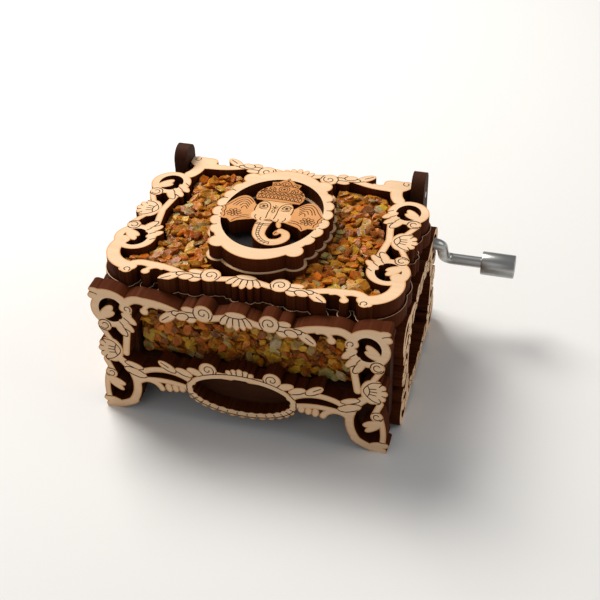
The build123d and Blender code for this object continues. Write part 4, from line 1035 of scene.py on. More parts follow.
class Effects:
    """Node groups shared by the finishes."""

    def __init__(self) -> None:
        """Builds each group once."""
        self.grain = self.make_grain()
        self.burn = self.make_burn()
        self.wear = self.make_wear()

    @staticmethod
    def make_grain() -> bpy.types.NodeTree:
        """Wood grain: long fibres, broad bands and short pores along the stretched axis."""
        tree, g, i, o = new_group(
            "wood_grain", [("Vector", "Vector", None), ("Pale", "Color", (1, 1, 1, 1)),
                           ("Deep", "Color", (0.5, 0.4, 0.3, 1)), ("Contrast", "Float", 1.0)],
            [("Color", "Color"), ("Height", "Float")])
        fibre = g.noise(i.outputs["Vector"], 900.0, 5.0, 0.6)
        band = g.noise(i.outputs["Vector"], 120.0, 3.0, 0.5)
        pore = g.span(g.noise(i.outputs["Vector"], 1700.0, 2.0, 0.5), 0.62, 0.75)
        amount = g.math("ADD", g.math("MULTIPLY", fibre, 0.55), g.math("MULTIPLY", band, 0.6))
        amount = g.math("MULTIPLY", g.span(amount, 0.38, 0.8), i.outputs["Contrast"])
        amount = g.math("ADD", amount, g.math("MULTIPLY", pore, 0.25), clamp=True)
        colour = g.mix(amount, i.outputs["Pale"], i.outputs["Deep"])
        g.tree.links.new(colour, o.inputs["Color"])
        g.tree.links.new(g.math("SUBTRACT", fibre, g.math("MULTIPLY", pore, 0.5)),
                         o.inputs["Height"])
        return tree

    @staticmethod
    def make_burn() -> bpy.types.NodeTree:
        """Laser burn: browns a wood colour by how far a face is burnt, with streaks."""
        tree, g, i, o = new_group(
            "laser_burn", [("Color", "Color", (1, 1, 1, 1)), ("Burn", "Float", 0.0),
                           ("Vector", "Vector", None)],
            [("Color", "Color"), ("Roughness", "Float")])
        ramp = g.node("ValToRGB", {0: i.outputs["Burn"]})
        stops = ((0.0, (1, 1, 1)), (0.08, (0.92, 0.78, 0.60)), (0.16, (0.82, 0.56, 0.34)),
                 (0.3, (0.72, 0.43, 0.22)), (0.6, (0.14, 0.055, 0.025)),
                 (0.88, (0.036, 0.010, 0.004)), (1.0, (0.085, 0.024, 0.007)))
        while len(ramp.color_ramp.elements) < len(stops):
            ramp.color_ramp.elements.new(0.5)
        for element, (place, colour) in zip(ramp.color_ramp.elements, stops):
            element.position, element.color = place, (*colour, 1)
        burnt = g.mix(1.0, i.outputs["Color"], ramp.outputs["Color"], "MULTIPLY")
        streak = g.noise(i.outputs["Vector"], 1500.0, 3.0, 0.65)
        broad = g.noise(i.outputs["Vector"], 260.0, 2.0, 0.5)
        light = g.math("MULTIPLY", g.span(streak, 0.42, 0.75), g.span(broad, 0.35, 0.7))
        edge = g.math("MULTIPLY", g.span(i.outputs["Burn"], 0.92, 1.0), light)
        colour = g.mix(g.math("MULTIPLY", edge, 0.8), burnt, (0.13, 0.042, 0.014))
        g.tree.links.new(colour, o.inputs["Color"])
        g.tree.links.new(g.span(i.outputs["Burn"], 0.0, 1.0, 0.62, 0.78), o.inputs["Roughness"])
        return tree

    @staticmethod
    def make_wear() -> bpy.types.NodeTree:
        """Handling marks: soft blotches and fine scratches as a mask and a height."""
        tree, g, i, o = new_group("handling_wear", [("Vector", "Vector", None),
                                                    ("Amount", "Float", 0.5)],
                                  [("Mask", "Float"), ("Height", "Float")])
        blotch = g.span(g.noise(i.outputs["Vector"], 180.0, 4.0, 0.6), 0.4, 0.7)
        scratch = g.span(g.noise(i.outputs["Vector"], 1400.0, 2.0, 0.7,
                                 stretch=(0.12, 1.0, 1.0)), 0.55, 0.72)
        mask = g.math("MULTIPLY", g.math("ADD", g.math("MULTIPLY", blotch, 0.7),
                                         g.math("MULTIPLY", scratch, 0.3)),
                      i.outputs["Amount"], clamp=True)
        g.tree.links.new(mask, o.inputs["Mask"])
        g.tree.links.new(scratch, o.inputs["Height"])
        return tree


@dataclass(frozen=True)
class Finish:
    """A material with a Principled shader, whose colour and roughness subclasses wire."""

    name: str

    def start(self) -> tuple[bpy.types.Material, Graph, bpy.types.Node, bpy.types.NodeSocket]:
        """A new material, its graph, its shader and its Object coordinates."""
        material = bpy.data.materials.new(self.name)
        material.use_nodes = True
        graph = Graph(material.node_tree)
        shader = next(n for n in material.node_tree.nodes if n.type == "BSDF_PRINCIPLED")
        return material, graph, shader, graph.node("TexCoord").outputs["Object"]

    def build(self, effects: Effects) -> bpy.types.Material:
        """Make the material."""
        raise NotImplementedError

    @staticmethod
    def group(graph: Graph, tree: bpy.types.NodeTree, inputs: dict) -> bpy.types.Node:
        """Place a shared group with its own values."""
        made = graph.node("Group", node_tree=tree)
        for key, value in inputs.items():
            if isinstance(value, bpy.types.NodeSocket):
                graph.tree.links.new(value, made.inputs[key])
            else:
                made.inputs[key].default_value = value
        return made

    @staticmethod
    def bump(graph: Graph, shader: bpy.types.Node, height: bpy.types.NodeSocket,
             strength: float, distance: float) -> None:
        """Give the shader a bump from a height."""
        made = graph.node("Bump", {"Strength": strength, "Distance": distance,
                                   "Height": height})
        graph.tree.links.new(made.outputs[0], shader.inputs["Normal"])


@dataclass(frozen=True)
class CutBirch(Finish):
    """Pale plywood cut by laser: grain on its faces, burnt scores and edges.

    grain is small along the fibres, and streak is nought across the sheet's thickness.
    """

    grain: Colour = (0.06, 1.0, 1.0)
    streak: Colour = (1.0, 1.0, 0.02)
    pale: Colour = (0.86, 0.60, 0.38)
    deep: Colour = (0.66, 0.40, 0.21)

    def build(self, effects: Effects) -> bpy.types.Material:
        """Make the material."""
        material, g, shader, where = self.start()
        fibres = g.node("Mapping", {"Vector": where, "Scale": self.grain}).outputs[0]
        streaks = g.node("Mapping", {"Vector": where, "Scale": self.streak}).outputs[0]
        wood = self.group(g, effects.grain, {"Vector": fibres, "Pale": (*self.pale, 1),
                                             "Deep": (*self.deep, 1), "Contrast": 0.55})
        burn = g.node("Attribute", attribute_name="burn", attribute_type="GEOMETRY")
        done = self.group(g, effects.burn, {"Color": wood.outputs["Color"],
                                            "Burn": burn.outputs["Fac"], "Vector": streaks})
        g.tree.links.new(done.outputs["Color"], shader.inputs["Base Color"])
        g.tree.links.new(done.outputs["Roughness"], shader.inputs["Roughness"])
        shader.inputs["Specular IOR Level"].default_value = 0.06
        self.bump(g, shader, wood.outputs["Height"], 0.25, 0.00008)
        return material


@dataclass(frozen=True)
class StainedPly(Finish):
    """Dark stained plywood with its plies at the edges."""

    colour: Colour = (0.030, 0.0095, 0.0045)
    light: Colour = (0.072, 0.024, 0.010)
    grain: Colour = (0.08, 1.0, 1.0)
    roughness: float = 0.6

    def build(self, effects: Effects) -> bpy.types.Material:
        """Make the material."""
        material, g, shader, where = self.start()
        fibres = g.node("Mapping", {"Vector": where, "Scale": self.grain}).outputs[0]
        wood = self.group(g, effects.grain, {"Vector": fibres, "Pale": (*self.colour, 1),
                                             "Deep": (*self.light, 1), "Contrast": 0.9})
        wear = self.group(g, effects.wear, {"Vector": where, "Amount": 0.5})
        colour = g.mix(wear.outputs["Mask"], wood.outputs["Color"], self.light)
        rough = g.span(wear.outputs["Mask"], 0.0, 1.0, self.roughness, self.roughness + 0.15)
        g.tree.links.new(colour, shader.inputs["Base Color"])
        g.tree.links.new(rough, shader.inputs["Roughness"])
        shader.inputs["Specular IOR Level"].default_value = 0.06
        self.bump(g, shader, wood.outputs["Height"], 0.35, 0.0001)
        return material


@dataclass(frozen=True)
class AmberChip(Finish):
    """Glossy amber: each chip's own tint, clouded and veined inside."""

    def build(self, effects: Effects) -> bpy.types.Material:
        """Make the material."""
        material, g, shader, where = self.start()
        tint = g.node("Attribute", attribute_name="tint", attribute_type="GEOMETRY")
        cloud = g.span(g.noise(where, 300.0, 4.0, 0.6), 0.36, 0.66)
        vein = g.span(g.noise(where, 900.0, 3.0, 0.7), 0.54, 0.68)
        deep = g.mix(1.0, tint.outputs["Color"], (0.66, 0.46, 0.30), "MULTIPLY")
        colour = g.mix(cloud, deep, tint.outputs["Color"])
        pale = g.mix(0.45, tint.outputs["Color"], (0.90, 0.66, 0.30))
        colour = g.mix(g.math("MULTIPLY", vein, 0.4), colour, pale)
        g.tree.links.new(colour, shader.inputs["Base Color"])
        shader.inputs["Roughness"].default_value = 0.28
        shader.inputs["Specular IOR Level"].default_value = 0.14
        shader.inputs["Subsurface Weight"].default_value = 0.5
        shader.inputs["Subsurface Radius"].default_value = (1.0, 0.42, 0.12)
        shader.inputs["Subsurface Scale"].default_value = 0.0016
        facets = g.node("TexVoronoi", {"Vector": where, "Scale": 900.0}).outputs["Distance"]
        self.bump(g, shader, g.math("ADD", facets, g.noise(where, 700.0, 3.0, 0.6)), 0.5, 0.00025)
        return material


@dataclass(frozen=True)
class Glue(Finish):
    """Glue between the chips. Its light amber colour is painted light, standing in for the light
    that the chips let through into the gaps; the noise spots are the glue's own unevenness.
    """

    def build(self, effects: Effects) -> bpy.types.Material:
        """Make the material."""
        material, g, shader, where = self.start()
        spots = g.span(g.noise(where, 500.0, 4.0, 0.6), 0.35, 0.7)
        # light amber instead of dark stained wood: painted light in the gaps between the chips
        colour = g.mix(spots, (0.16, 0.048, 0.008), (0.40, 0.145, 0.018))
        g.tree.links.new(colour, shader.inputs["Base Color"])
        shader.inputs["Roughness"].default_value = 0.3
        shader.inputs["Specular IOR Level"].default_value = 0.2
        self.bump(g, shader, g.noise(where, 700.0, 3.0, 0.6), 0.6, 0.0004)
        return material


@dataclass(frozen=True)
class Metal(Finish):
    """A metal with fine scratches and dull patches."""

    colour: Colour = (0.46, 0.455, 0.44)
    dull: Colour = (0.30, 0.295, 0.28)
    roughness: float = 0.3
    worn: float = 0.22
    stretch: Colour = (0.2, 1.0, 1.0)

    def build(self, effects: Effects) -> bpy.types.Material:
        """Make the material."""
        material, g, shader, where = self.start()
        brushed = g.node("Mapping", {"Vector": where, "Scale": self.stretch}).outputs[0]
        wear = self.group(g, effects.wear, {"Vector": brushed, "Amount": 0.9})
        colour = g.mix(wear.outputs["Mask"], self.colour, self.dull)
        rough = g.span(wear.outputs["Mask"], 0.0, 1.0, self.roughness,
                       self.roughness + self.worn)
        g.tree.links.new(colour, shader.inputs["Base Color"])
        g.tree.links.new(rough, shader.inputs["Roughness"])
        shader.inputs["Metallic"].default_value = 1.0
        self.bump(g, shader, wear.outputs["Height"], 0.15, 0.00003)
        return material


@dataclass(frozen=True)
class MouldedPlastic(Finish):
    """Plain moulded plastic."""

    colour: Colour = (0.74, 0.72, 0.66)

    def build(self, effects: Effects) -> bpy.types.Material:
        """Make the material."""
        material, g, shader, where = self.start()
        wear = self.group(g, effects.wear, {"Vector": where, "Amount": 0.5})
        colour = g.mix(wear.outputs["Mask"], self.colour, tuple(c * 0.8 for c in self.colour))
        g.tree.links.new(colour, shader.inputs["Base Color"])
        shader.inputs["Roughness"].default_value = 0.45
        self.bump(g, shader, wear.outputs["Height"], 0.2, 0.00005)
        return material


class Finishes:
    """Every material of the object, built once."""

    def __init__(self) -> None:
        """Builds the shared groups and the materials."""
        effects = Effects()
        flat, upright, sideways = (1.0, 1.0, 0.02), (1.0, 0.02, 1.0), (0.02, 1.0, 1.0)
        along_x, along_y = (0.06, 1.0, 1.0), (1.0, 0.06, 1.0)
        self.birch_lid = CutBirch("birch_lid", along_x, flat).build(effects)
        self.birch_front = CutBirch("birch_front", along_x, upright).build(effects)
        self.birch_side = CutBirch("birch_side", along_y, sideways).build(effects)
        self.stained = StainedPly("stained_ply").build(effects)
        self.stained_side = StainedPly("stained_ply_side", grain=along_y).build(effects)
        self.ground = StainedPly("black_ground", (0.009, 0.007, 0.008), (0.018, 0.014, 0.014),
                                 roughness=0.45).build(effects)
        self.amber = AmberChip("amber").build(effects)
        self.glue = Glue("glue_painted_light").build(effects)
        self.steel = Metal("nickel_steel").build(effects)
        self.comb_steel = Metal("comb_steel", (0.5, 0.5, 0.5), (0.36, 0.36, 0.36), 0.26, 0.15,
                                (1.0, 0.1, 1.0)).build(effects)
        self.zinc = Metal("cast_zinc", (0.52, 0.52, 0.53), (0.40, 0.40, 0.41), 0.45, 0.2,
                          (1.0, 1.0, 1.0)).build(effects)
        self.brass = Metal("brass", (0.72, 0.50, 0.20), (0.52, 0.34, 0.13), 0.25, 0.2,
                           (1.0, 0.2, 1.0)).build(effects)
        self.plastic = MouldedPlastic("white_plastic").build(effects)


# ---- sub-assemblies -------------------------------------------------------------------
def box_cut(low: Point, high: Point) -> np.ndarray:
    """A rectangle as a cut outline."""
    return np.array([low, (high[0], low[1]), high, (low[0], high[1])], float)


@dataclass
class Fretwork:
    """The box's four fretwork panels: front, two sides and back."""

    finishes: Finishes
    ornament: Ornament = field(default_factory=Ornament)
    reach: float = 80.0

    def build(self) -> None:
        """Make all the panels of the box."""
        table = box_cut((-self.reach, -self.reach), (self.reach, 0.0))
        hole = ellipse((BOX.shaft_y, BOX.shaft_z), BOX.crank_hole, BOX.crank_hole)
        side = self.ornament.panel(BOX.side_mid, BOX.side_half, BOX.wall_top)
        panels = [
            (CutPanel("front_lace", self.ornament.front(),
                      Sheet((0, BOX.front_y, 0), (1, 0, 0), (0, 0, 1), (0, -1, 0)), BOX.ply,
                      [table]), "box", "front_fretwork", self.finishes.birch_front),
            (CutPanel("left_lace", side,
                      Sheet((-BOX.side_out_x - BOX.ply, 0, 0), (0, 1, 0), (0, 0, 1),
                            (-1, 0, 0)), BOX.ply, [table]),
             "box", "left_fretwork", self.finishes.birch_side),
            (CutPanel("right_lace", side,
                      Sheet((BOX.side_out_x + BOX.ply, 0, 0), (0, 1, 0), (0, 0, 1),
                            (1, 0, 0)), BOX.ply, [table, hole]),
             "box", "right_fretwork", self.finishes.birch_side),
            (CutPanel("back_lace", self.ornament.panel(0, BOX.side_out_x, BOX.back_top),
                      Sheet((0, BOX.back_face_y + BOX.ply, 0), (1, 0, 0), (0, 0, 1),
                            (0, 1, 0)), BOX.ply, [table]),
             "box", "back_fretwork", self.finishes.birch_front),
        ]
        for panel, body, node, material in panels:
            add_piece(panel.mesh(), body, material, [node])


@dataclass
class Lid:
    """Lid board, border, medallion and elephant head."""

    finishes: Finishes
    ornament: Ornament = field(default_factory=Ornament)
    ground_step: float = 0.8
    board_grow: float = 0.6
    board_line: float = 0.18
    engraved: float = 0.2
    reach: float = 80.0

    def edge_cuts(self) -> list[np.ndarray]:
        """What is cut away for the hinge ears and the front fretwork."""
        far = self.reach
        return [box_cut((BOX.lid_inner_x, BOX.lid_wing_y), (far, far)),
                box_cut((-far, BOX.lid_wing_y), (-BOX.lid_inner_x, far)),
                box_cut((-far, -far), (far, BOX.lid_front))]

    def build(self) -> None:
        """Make the lid's layers, from the board up."""
        wood, edges = self.finishes.birch_lid, self.edge_cuts()
        board = self.ornament.lid(self.board_grow, self.board_line)
        middle = (BOX.lid_half - 3.5, BOX.lid_front + 4.0, BOX.lid_back - 3.5)
        fill = box_cut((-middle[0], middle[1]), (middle[0], middle[2]))
        board.append(Motif(fill, fill, scored=False))
        for motif in board:
            motif.hole, motif.scored, motif.lines = None, False, []
        far = box_cut((-self.reach, BOX.lid_back), (self.reach, self.reach))
        plate = CutPanel("lid_plate", board, top_sheet(BOX.lid_z + BOX.ply), BOX.ply,
                         edges + [far], face_burn=Burn.BACK.value, rim_burn=Burn.NONE.value)
        add_piece(plate.mesh(), "lid", wood, ["lid_board"])
        opening = ellipse((0.0, BOX.med_y), BOX.med_rx - self.ground_step,
                          BOX.med_ry - self.ground_step)
        border = CutPanel("lid_lace", self.ornament.lid(), top_sheet(BOX.border_top), BOX.ply,
                          edges)
        add_piece(border.mesh(), "lid", wood, ["lid_border"])
        rim = CutPanel("medallion_rim", self.ornament.medallion(BOX.rim_step),
                       top_sheet(BOX.border_top), BOX.ply, [opening])
        add_piece(rim.mesh(), "lid", wood, ["lid_border"])
        hole = ellipse((0.0, BOX.med_y), BOX.med_rx, BOX.med_ry)
        head = ElephantHead(Spot(0.0, BOX.med_y)).motifs()
        ring = CutPanel("medallion_oval", self.ornament.medallion(0.0, hole) + head,
                        top_sheet(BOX.border_top + BOX.ring_t), BOX.ring_t,
                        depth=self.engraved)
        add_piece(ring.mesh(), "lid", wood, ["medallion_ring", "elephant_head"])


class Tint(Enum):
    """The chips' colours, and how often each comes."""

    HONEY = ((0.56, 0.235, 0.018), 0.30)
    ORANGE = ((0.56, 0.155, 0.008), 0.21)
    BROWN = ((0.34, 0.110, 0.012), 0.16)
    DARK = ((0.22, 0.065, 0.009), 0.06)
    YELLOW = ((0.62, 0.34, 0.030), 0.14)
    CLOUDY = ((0.46, 0.33, 0.11), 0.10)
    MILKY = ((0.54, 0.41, 0.22), 0.03)


@dataclass
class ChipBed:
    """A glued bed of broken amber chips on a sheet, inside an outline.

    Each chip is a flat stone: a ring of corners round its middle, and a smaller ring above
    and below it, all drawn at random, then tilted a little; big chips lie over small ones.
    """

    name: str
    sheet: Sheet
    outline: np.ndarray
    node: str
    body: str
    seed: int
    finishes: Finishes
    hole: Optional[np.ndarray] = None
    bed: float = 1.7
    pitch: float = 1.55
    small: tuple[float, float] = (0.8, 1.4)
    large: tuple[float, float] = (1.2, 2.8)
    sides: int = 6
    low_height: tuple[float, float] = (1.2, 1.7)
    high_height: tuple[float, float] = (1.9, 2.6)
    room: tuple[float, float] = (0.05, 3.6)
    ripple: float = 0.16
    glue_grid: tuple[int, int] = (150, 90)

    def holds(self, flat: np.ndarray) -> np.ndarray:
        """Which points lie inside the bed, shape (n, 2) to (n,)."""
        kept = inside(flat, self.outline)
        return kept if self.hole is None else kept & ~inside(flat, self.hole)

    def spots(self, rng: np.random.Generator, pitch: float) -> np.ndarray:
        """Jittered grid points inside the bed."""
        low, high = self.outline.min(0), self.outline.max(0)
        grid = np.stack(np.meshgrid(np.arange(low[0], high[0], pitch),
                                    np.arange(low[1], high[1], pitch)), -1).reshape(-1, 2)
        grid = grid + rng.uniform(-0.48, 0.48, grid.shape) * pitch
        return grid[self.holds(grid)]

    def stones(self, rng: np.random.Generator, size: np.ndarray) -> np.ndarray:
        """Untilted chips round the origin, shape (n, 3 rings of corners, 3)."""
        n, k = len(size), self.sides
        angle = (2 * math.pi * (np.arange(k) + rng.uniform(-0.32, 0.32, (n, k))) / k)
        girth = rng.uniform(0.72, 1.15, (n, k)) * size[:, None]
        stretch = rng.uniform(0.5, 0.92, (n, 1))
        middle = np.stack([girth * np.cos(angle), girth * np.sin(angle) * stretch,
                           rng.uniform(-0.12, 0.12, (n, k)) * size[:, None]], -1)
        rings = [middle]
        for sign in (1, -1):
            lid = middle * rng.uniform(0.62, 0.98, (n, k, 1))
            lid[:, :, :2] += rng.uniform(-0.12, 0.12, (n, 1, 2)) * size[:, None, None]
            slope = lid[:, :, :1] * rng.uniform(-0.28, 0.28, (n, 1, 1))
            lid[:, :, 2:] = sign * rng.uniform(0.1, 0.28, (n, 1, 1)) * size[:, None, None] + slope
            rings.append(lid)
        return np.concatenate(rings, 1)

    def stone_faces(self) -> np.ndarray:
        """Triangles of one chip."""
        k, faces = self.sides, []
        for i in range(k):
            j = (i + 1) % k
            faces += [(i, j, k + j), (i, k + j, k + i),
                      (j, i, 2 * k + i), (j, 2 * k + i, 2 * k + j)]
        for i in range(1, k - 1):
            faces += [(k, k + i, k + i + 1), (2 * k, 2 * k + i + 1, 2 * k + i)]
        return np.array(faces)

    def chips(self, rng: np.random.Generator, spots: np.ndarray, sizes: tuple[float, float],
              height: tuple[float, float]) -> tuple[np.ndarray, np.ndarray]:
        """Chips at the spots.

        Args:
            rng: source of the draws.
            spots: places, shape (n, 2).
            sizes: least and greatest half length.
            height: least and greatest height of their middles over the bed's floor.
        Returns:
            Corners, shape (n, m, 3), with the third number the height; and tints (n, 3).
        """
        n = len(spots)
        size = sizes[0] + (sizes[1] - sizes[0]) * rng.beta(1.5, 2.4, n)
        tilt, lean = rng.normal(0, 0.34, n), rng.uniform(0, 2 * math.pi, n)
        across = self.turns(lean)
        rock = np.zeros((n, 3, 3))
        rock[:, 0, 0] = 1
        rock[:, 1, 1], rock[:, 1, 2] = np.cos(tilt), -np.sin(tilt)
        rock[:, 2, 1], rock[:, 2, 2] = np.sin(tilt), np.cos(tilt)
        spin = self.turns(rng.uniform(0, 2 * math.pi, n))
        whole = across @ rock @ np.transpose(across, (0, 2, 1)) @ spin
        corners = np.einsum("nij,nkj->nki", whole, self.stones(rng, size))
        share = np.zeros(corners.shape[:2])
        for part in (0.2, 0.4, 0.6, 0.8, 1.0):
            moved = spots[:, None] + part * corners[:, :, :2]
            share = np.where(self.holds(moved.reshape(-1, 2)).reshape(share.shape), part, share)
        corners[:, :, :2] = spots[:, None] + corners[:, :, :2] * share[:, :, None]
        corners[:, :, 2] += rng.uniform(*height, n)[:, None]
        tints = np.array([t.value[0] for t in Tint])
        odds = np.array([t.value[1] for t in Tint])
        pick = rng.choice(len(tints), n, p=odds / odds.sum())
        shade = tints[pick] * rng.uniform(0.75, 1.2, (n, 1)) * rng.uniform(0.94, 1.06, (n, 3))
        return corners, np.clip(shade, 0, 1)

    @staticmethod
    def turns(angle: np.ndarray) -> np.ndarray:
        """Turns about the third axis, shape (n, 3, 3)."""
        out = np.zeros((len(angle), 3, 3))
        out[:, 0, 0] = out[:, 1, 1] = np.cos(angle)
        out[:, 0, 1], out[:, 1, 0] = -np.sin(angle), np.sin(angle)
        out[:, 2, 2] = 1
        return out

    def build(self) -> None:
        """Make the chips and the glue that they lie in."""
        rng = np.random.default_rng(self.seed)
        low = self.chips(rng, self.spots(rng, self.pitch * 0.9), self.small, self.low_height)
        high = self.chips(rng, self.spots(rng, self.pitch * 1.25), self.large,
                          self.high_height)
        corners = np.concatenate([low[0], high[0]])
        # the lower, smaller chips are tinted 0.85 as bright: painted shade under the big chips
        # that lie over them
        tints = np.concatenate([low[1] * 0.85, high[1]])
        n, each = corners.shape[:2]
        flat = corners.reshape(-1, 3)
        flat[:, 2] = np.clip(flat[:, 2], *self.room)
        one = self.stone_faces()
        faces = (one[None] + each * np.arange(n)[:, None, None]).reshape(-1, 3)
        if self.sheet.flipped:
            faces = faces[:, ::-1]
        mesh = make_mesh(self.name, self.sheet.place(flat[:, :2], flat[:, 2]), faces)
        layer = mesh.attributes.new("tint", "FLOAT_COLOR", "FACE")
        colours = np.repeat(np.c_[tints, np.ones(n)], len(one), 0)
        if len(mesh.polygons) != len(colours):
            raise RuntimeError(f"{self.name} lost faces")
        layer.data.foreach_set("color", colours.astype(np.float32).ravel())
        add_piece(mesh, self.body, self.finishes.amber, [self.node])
        self.glue()

    def glue(self) -> None:
        """A thin uneven sheet of glue: a grid whose height is a sum of two ripples."""
        low, high = self.outline.min(0), self.outline.max(0)
        uu, vv = np.meshgrid(*(np.linspace(a, b, count)
                               for a, b, count in zip(low, high, self.glue_grid)))
        height = self.bed + self.ripple * np.sin(1.9 * uu + 0.7 * vv) * np.sin(1.4 * vv - 0.6 * uu)
        flat = np.stack([uu, vv], -1).reshape(-1, 2)
        index = np.arange(len(flat)).reshape(uu.shape)
        a, b, c, d = (index[:-1, :-1].ravel(), index[:-1, 1:].ravel(), index[1:, 1:].ravel(),
                      index[1:, :-1].ravel())
        faces = np.concatenate([np.stack([a, b, c], 1), np.stack([a, c, d], 1)])
        faces = faces[self.holds(flat[faces].mean(1))]
        if self.sheet.flipped:
            faces = faces[:, ::-1]
        used, faces = np.unique(faces, return_inverse=True)
        mesh = make_mesh(self.name + "_glue", self.sheet.place(flat[used],
                                                               height.ravel()[used]),
                         faces.reshape(-1, 3))
        add_piece(mesh, self.body, self.finishes.glue, [self.node])


def lid_bed() -> np.ndarray:
    """The outline inside the lid's border where chips lie, by runs of points.

    Each run is measured from the lid's right edge and from one line across the lid.
    """
    front_ring, back_ring = BOX.lid_mid - BOX.lid_ring, BOX.lid_mid + BOX.lid_ring
    runs = (
        (BOX.front_rail, ((-27.4, 4.8), (-25.8, 0.3), (-22.5, -0.2), (-17.0, 0.4), (-13.0, 0.8),
                          (-9.0, 0.9), (-5.4, 1.3), (-4.4, 3.0), (-7.0, 4.0))),
        (front_ring, ((-9.6, -3.6), (-10.7, -1.4), (-10.8, 0.6), (-12.0, 2.6), (-12.0, 3.6),
                      (-11.0, 5.8))),
        (BOX.lid_mid, ((-9.9, -6.0), (-9.2, -2.4), (-8.8, 0.0), (-9.2, 3.6), (-9.8, 5.6))),
        (back_ring, ((-11.0, -5.4), (-12.0, -3.6), (-12.0, -2.6), (-10.8, -1.0), (-10.8, 0.6),
                     (-10.2, 2.8), (-10.2, 3.8), (-11.0, 4.8), (-11.8, 6.6))),
        (BOX.back_rail, ((-12.0, -1.0), (-15.0, -0.7), (-19.0, -0.1), (-21.5, 0.3),
                         (-25.0, -0.4), (-25.6, -6.4), (-25.6, -8.6))))
    right = [(BOX.lid_half + u, y + v) for y, run in runs for u, v in run]
    return np.array(right + [(-u, v) for u, v in right[::-1]])


@dataclass
class Crank:
    """Bent wire and turned knob."""

    finishes: Finishes
    rod_r: float = 1.5
    arm_x: float = 40.4
    arm: float = 11.3
    angle: float = -53.0
    bend: float = 2.6
    knob_x: float = 50.6
    knob_l: float = 8.9
    knob_r: float = 3.15
    start_x: float = 23.3
    into_knob: float = 6.0
    bevel: float = 0.3
    clearance: float = 0.05
    crease: float = 32.0

    def wire_path(self) -> np.ndarray:
        """Points of the wire: three straight runs joined by round bends."""
        y, z = BOX.shaft_y, BOX.shaft_z
        out = self.out()
        ahead = np.array([1.0, 0, 0])
        first = np.array([self.arm_x, y, z])
        second = first + self.arm * out
        t = np.linspace(0, math.pi / 2, 12)[:, None]
        r = self.bend
        bend_a = first - r * ahead + r * out + r * (np.sin(t) * ahead - np.cos(t) * out)
        bend_b = second + r * ahead - r * out + r * (np.sin(t) * out - np.cos(t) * ahead)
        start = np.linspace([self.start_x, y, z], bend_a[0], 8)[:-1]
        reach = self.knob_x - self.arm_x + self.into_knob
        end = np.linspace(bend_b[-1], second + reach * ahead, 8)[1:]
        return np.concatenate([start, bend_a, bend_b, end])

    def build(self) -> None:
        """Make the wire and the knob."""
        self.wire()
        self.knob()

    def out(self) -> np.ndarray:
        """The way that the arm points from the shaft."""
        a = math.radians(self.angle)
        return np.array([0, math.cos(a), math.sin(a)])

    def wire(self) -> None:
        """A round section carried along the wire's path."""
        path = self.wire_path()
        along = np.gradient(path, axis=0)
        along /= np.linalg.norm(along, axis=1, keepdims=True)
        side = np.cross([1.0, 0, 0], self.out())
        up = np.cross(along, side)
        turn = np.linspace(0, 2 * math.pi, 28, endpoint=False)
        ring = (np.cos(turn)[None, :, None] * side + np.sin(turn)[None, :, None]
                * up[:, None, :])
        self.revolved("crank_wire", (path[:, None] + self.rod_r * ring), self.finishes.steel,
                      "crank", "crank_rod")

    def knob(self) -> None:
        """A profile of (along, radius) pairs, turned round the knob's axis."""
        bevel, inner = self.bevel, self.rod_r + self.clearance
        profile = np.array([
            (0.25, inner), (0.0, inner + 0.2), (0.0, self.knob_r - bevel),
            (bevel * 0.3, self.knob_r - bevel * 0.3), (bevel, self.knob_r),
            (self.knob_l - bevel, self.knob_r),
            (self.knob_l - bevel * 0.3, self.knob_r - bevel * 0.3),
            (self.knob_l, self.knob_r - bevel), (self.knob_l, self.knob_r - 0.9),
            (self.knob_l - 0.25, self.knob_r - 1.15), (self.knob_l - 0.25, 0.9),
            (self.knob_l - 0.1, 0.6), (self.knob_l - 0.1, 0.02)])
        centre = np.array([self.knob_x, BOX.shaft_y, BOX.shaft_z]) + self.arm * self.out()
        turn = np.linspace(0, 2 * math.pi, 48, endpoint=False)
        points = np.stack(np.broadcast_arrays(
            profile[:, :1], profile[:, 1:] * np.cos(turn), profile[:, 1:] * np.sin(turn)), -1)
        self.revolved("knob", points + centre, self.finishes.steel, "knob", "crank_knob")

    @staticmethod
    def revolved(name: str, rings: np.ndarray, material: bpy.types.Material, body: str,
                 node: str) -> None:
        """A closed skin over rings of points, shape (rings, points, 3), ends capped."""
        m, n = rings.shape[:2]
        index = np.arange(m * n).reshape(m, n)
        nxt = np.roll(index, -1, 1)
        a, b, c, d = (x.ravel() for x in (index[:-1], nxt[:-1], nxt[1:], index[1:]))
        points = np.concatenate([rings.reshape(-1, 3), rings[0].mean(0)[None],
                                 rings[-1].mean(0)[None]])
        first, last = m * n, m * n + 1
        faces = np.concatenate([
            np.stack([a, b, c], 1), np.stack([a, c, d], 1),
            np.stack([np.full(n, first), nxt[0], index[0]], 1),
            np.stack([np.full(n, last), index[-1], nxt[-1]], 1)])
        p, q, r = (points[faces[:, k]] for k in range(3))
        if np.einsum("ij,ij->i", p, np.cross(q, r)).sum() < 0:
            faces = faces[:, ::-1]
        mesh = make_mesh(name, points * MM, faces)
        mesh.shade_smooth()
        mesh.set_sharp_from_angle(angle=math.radians(Crank.crease))
        add_piece(mesh, body, material, [node])


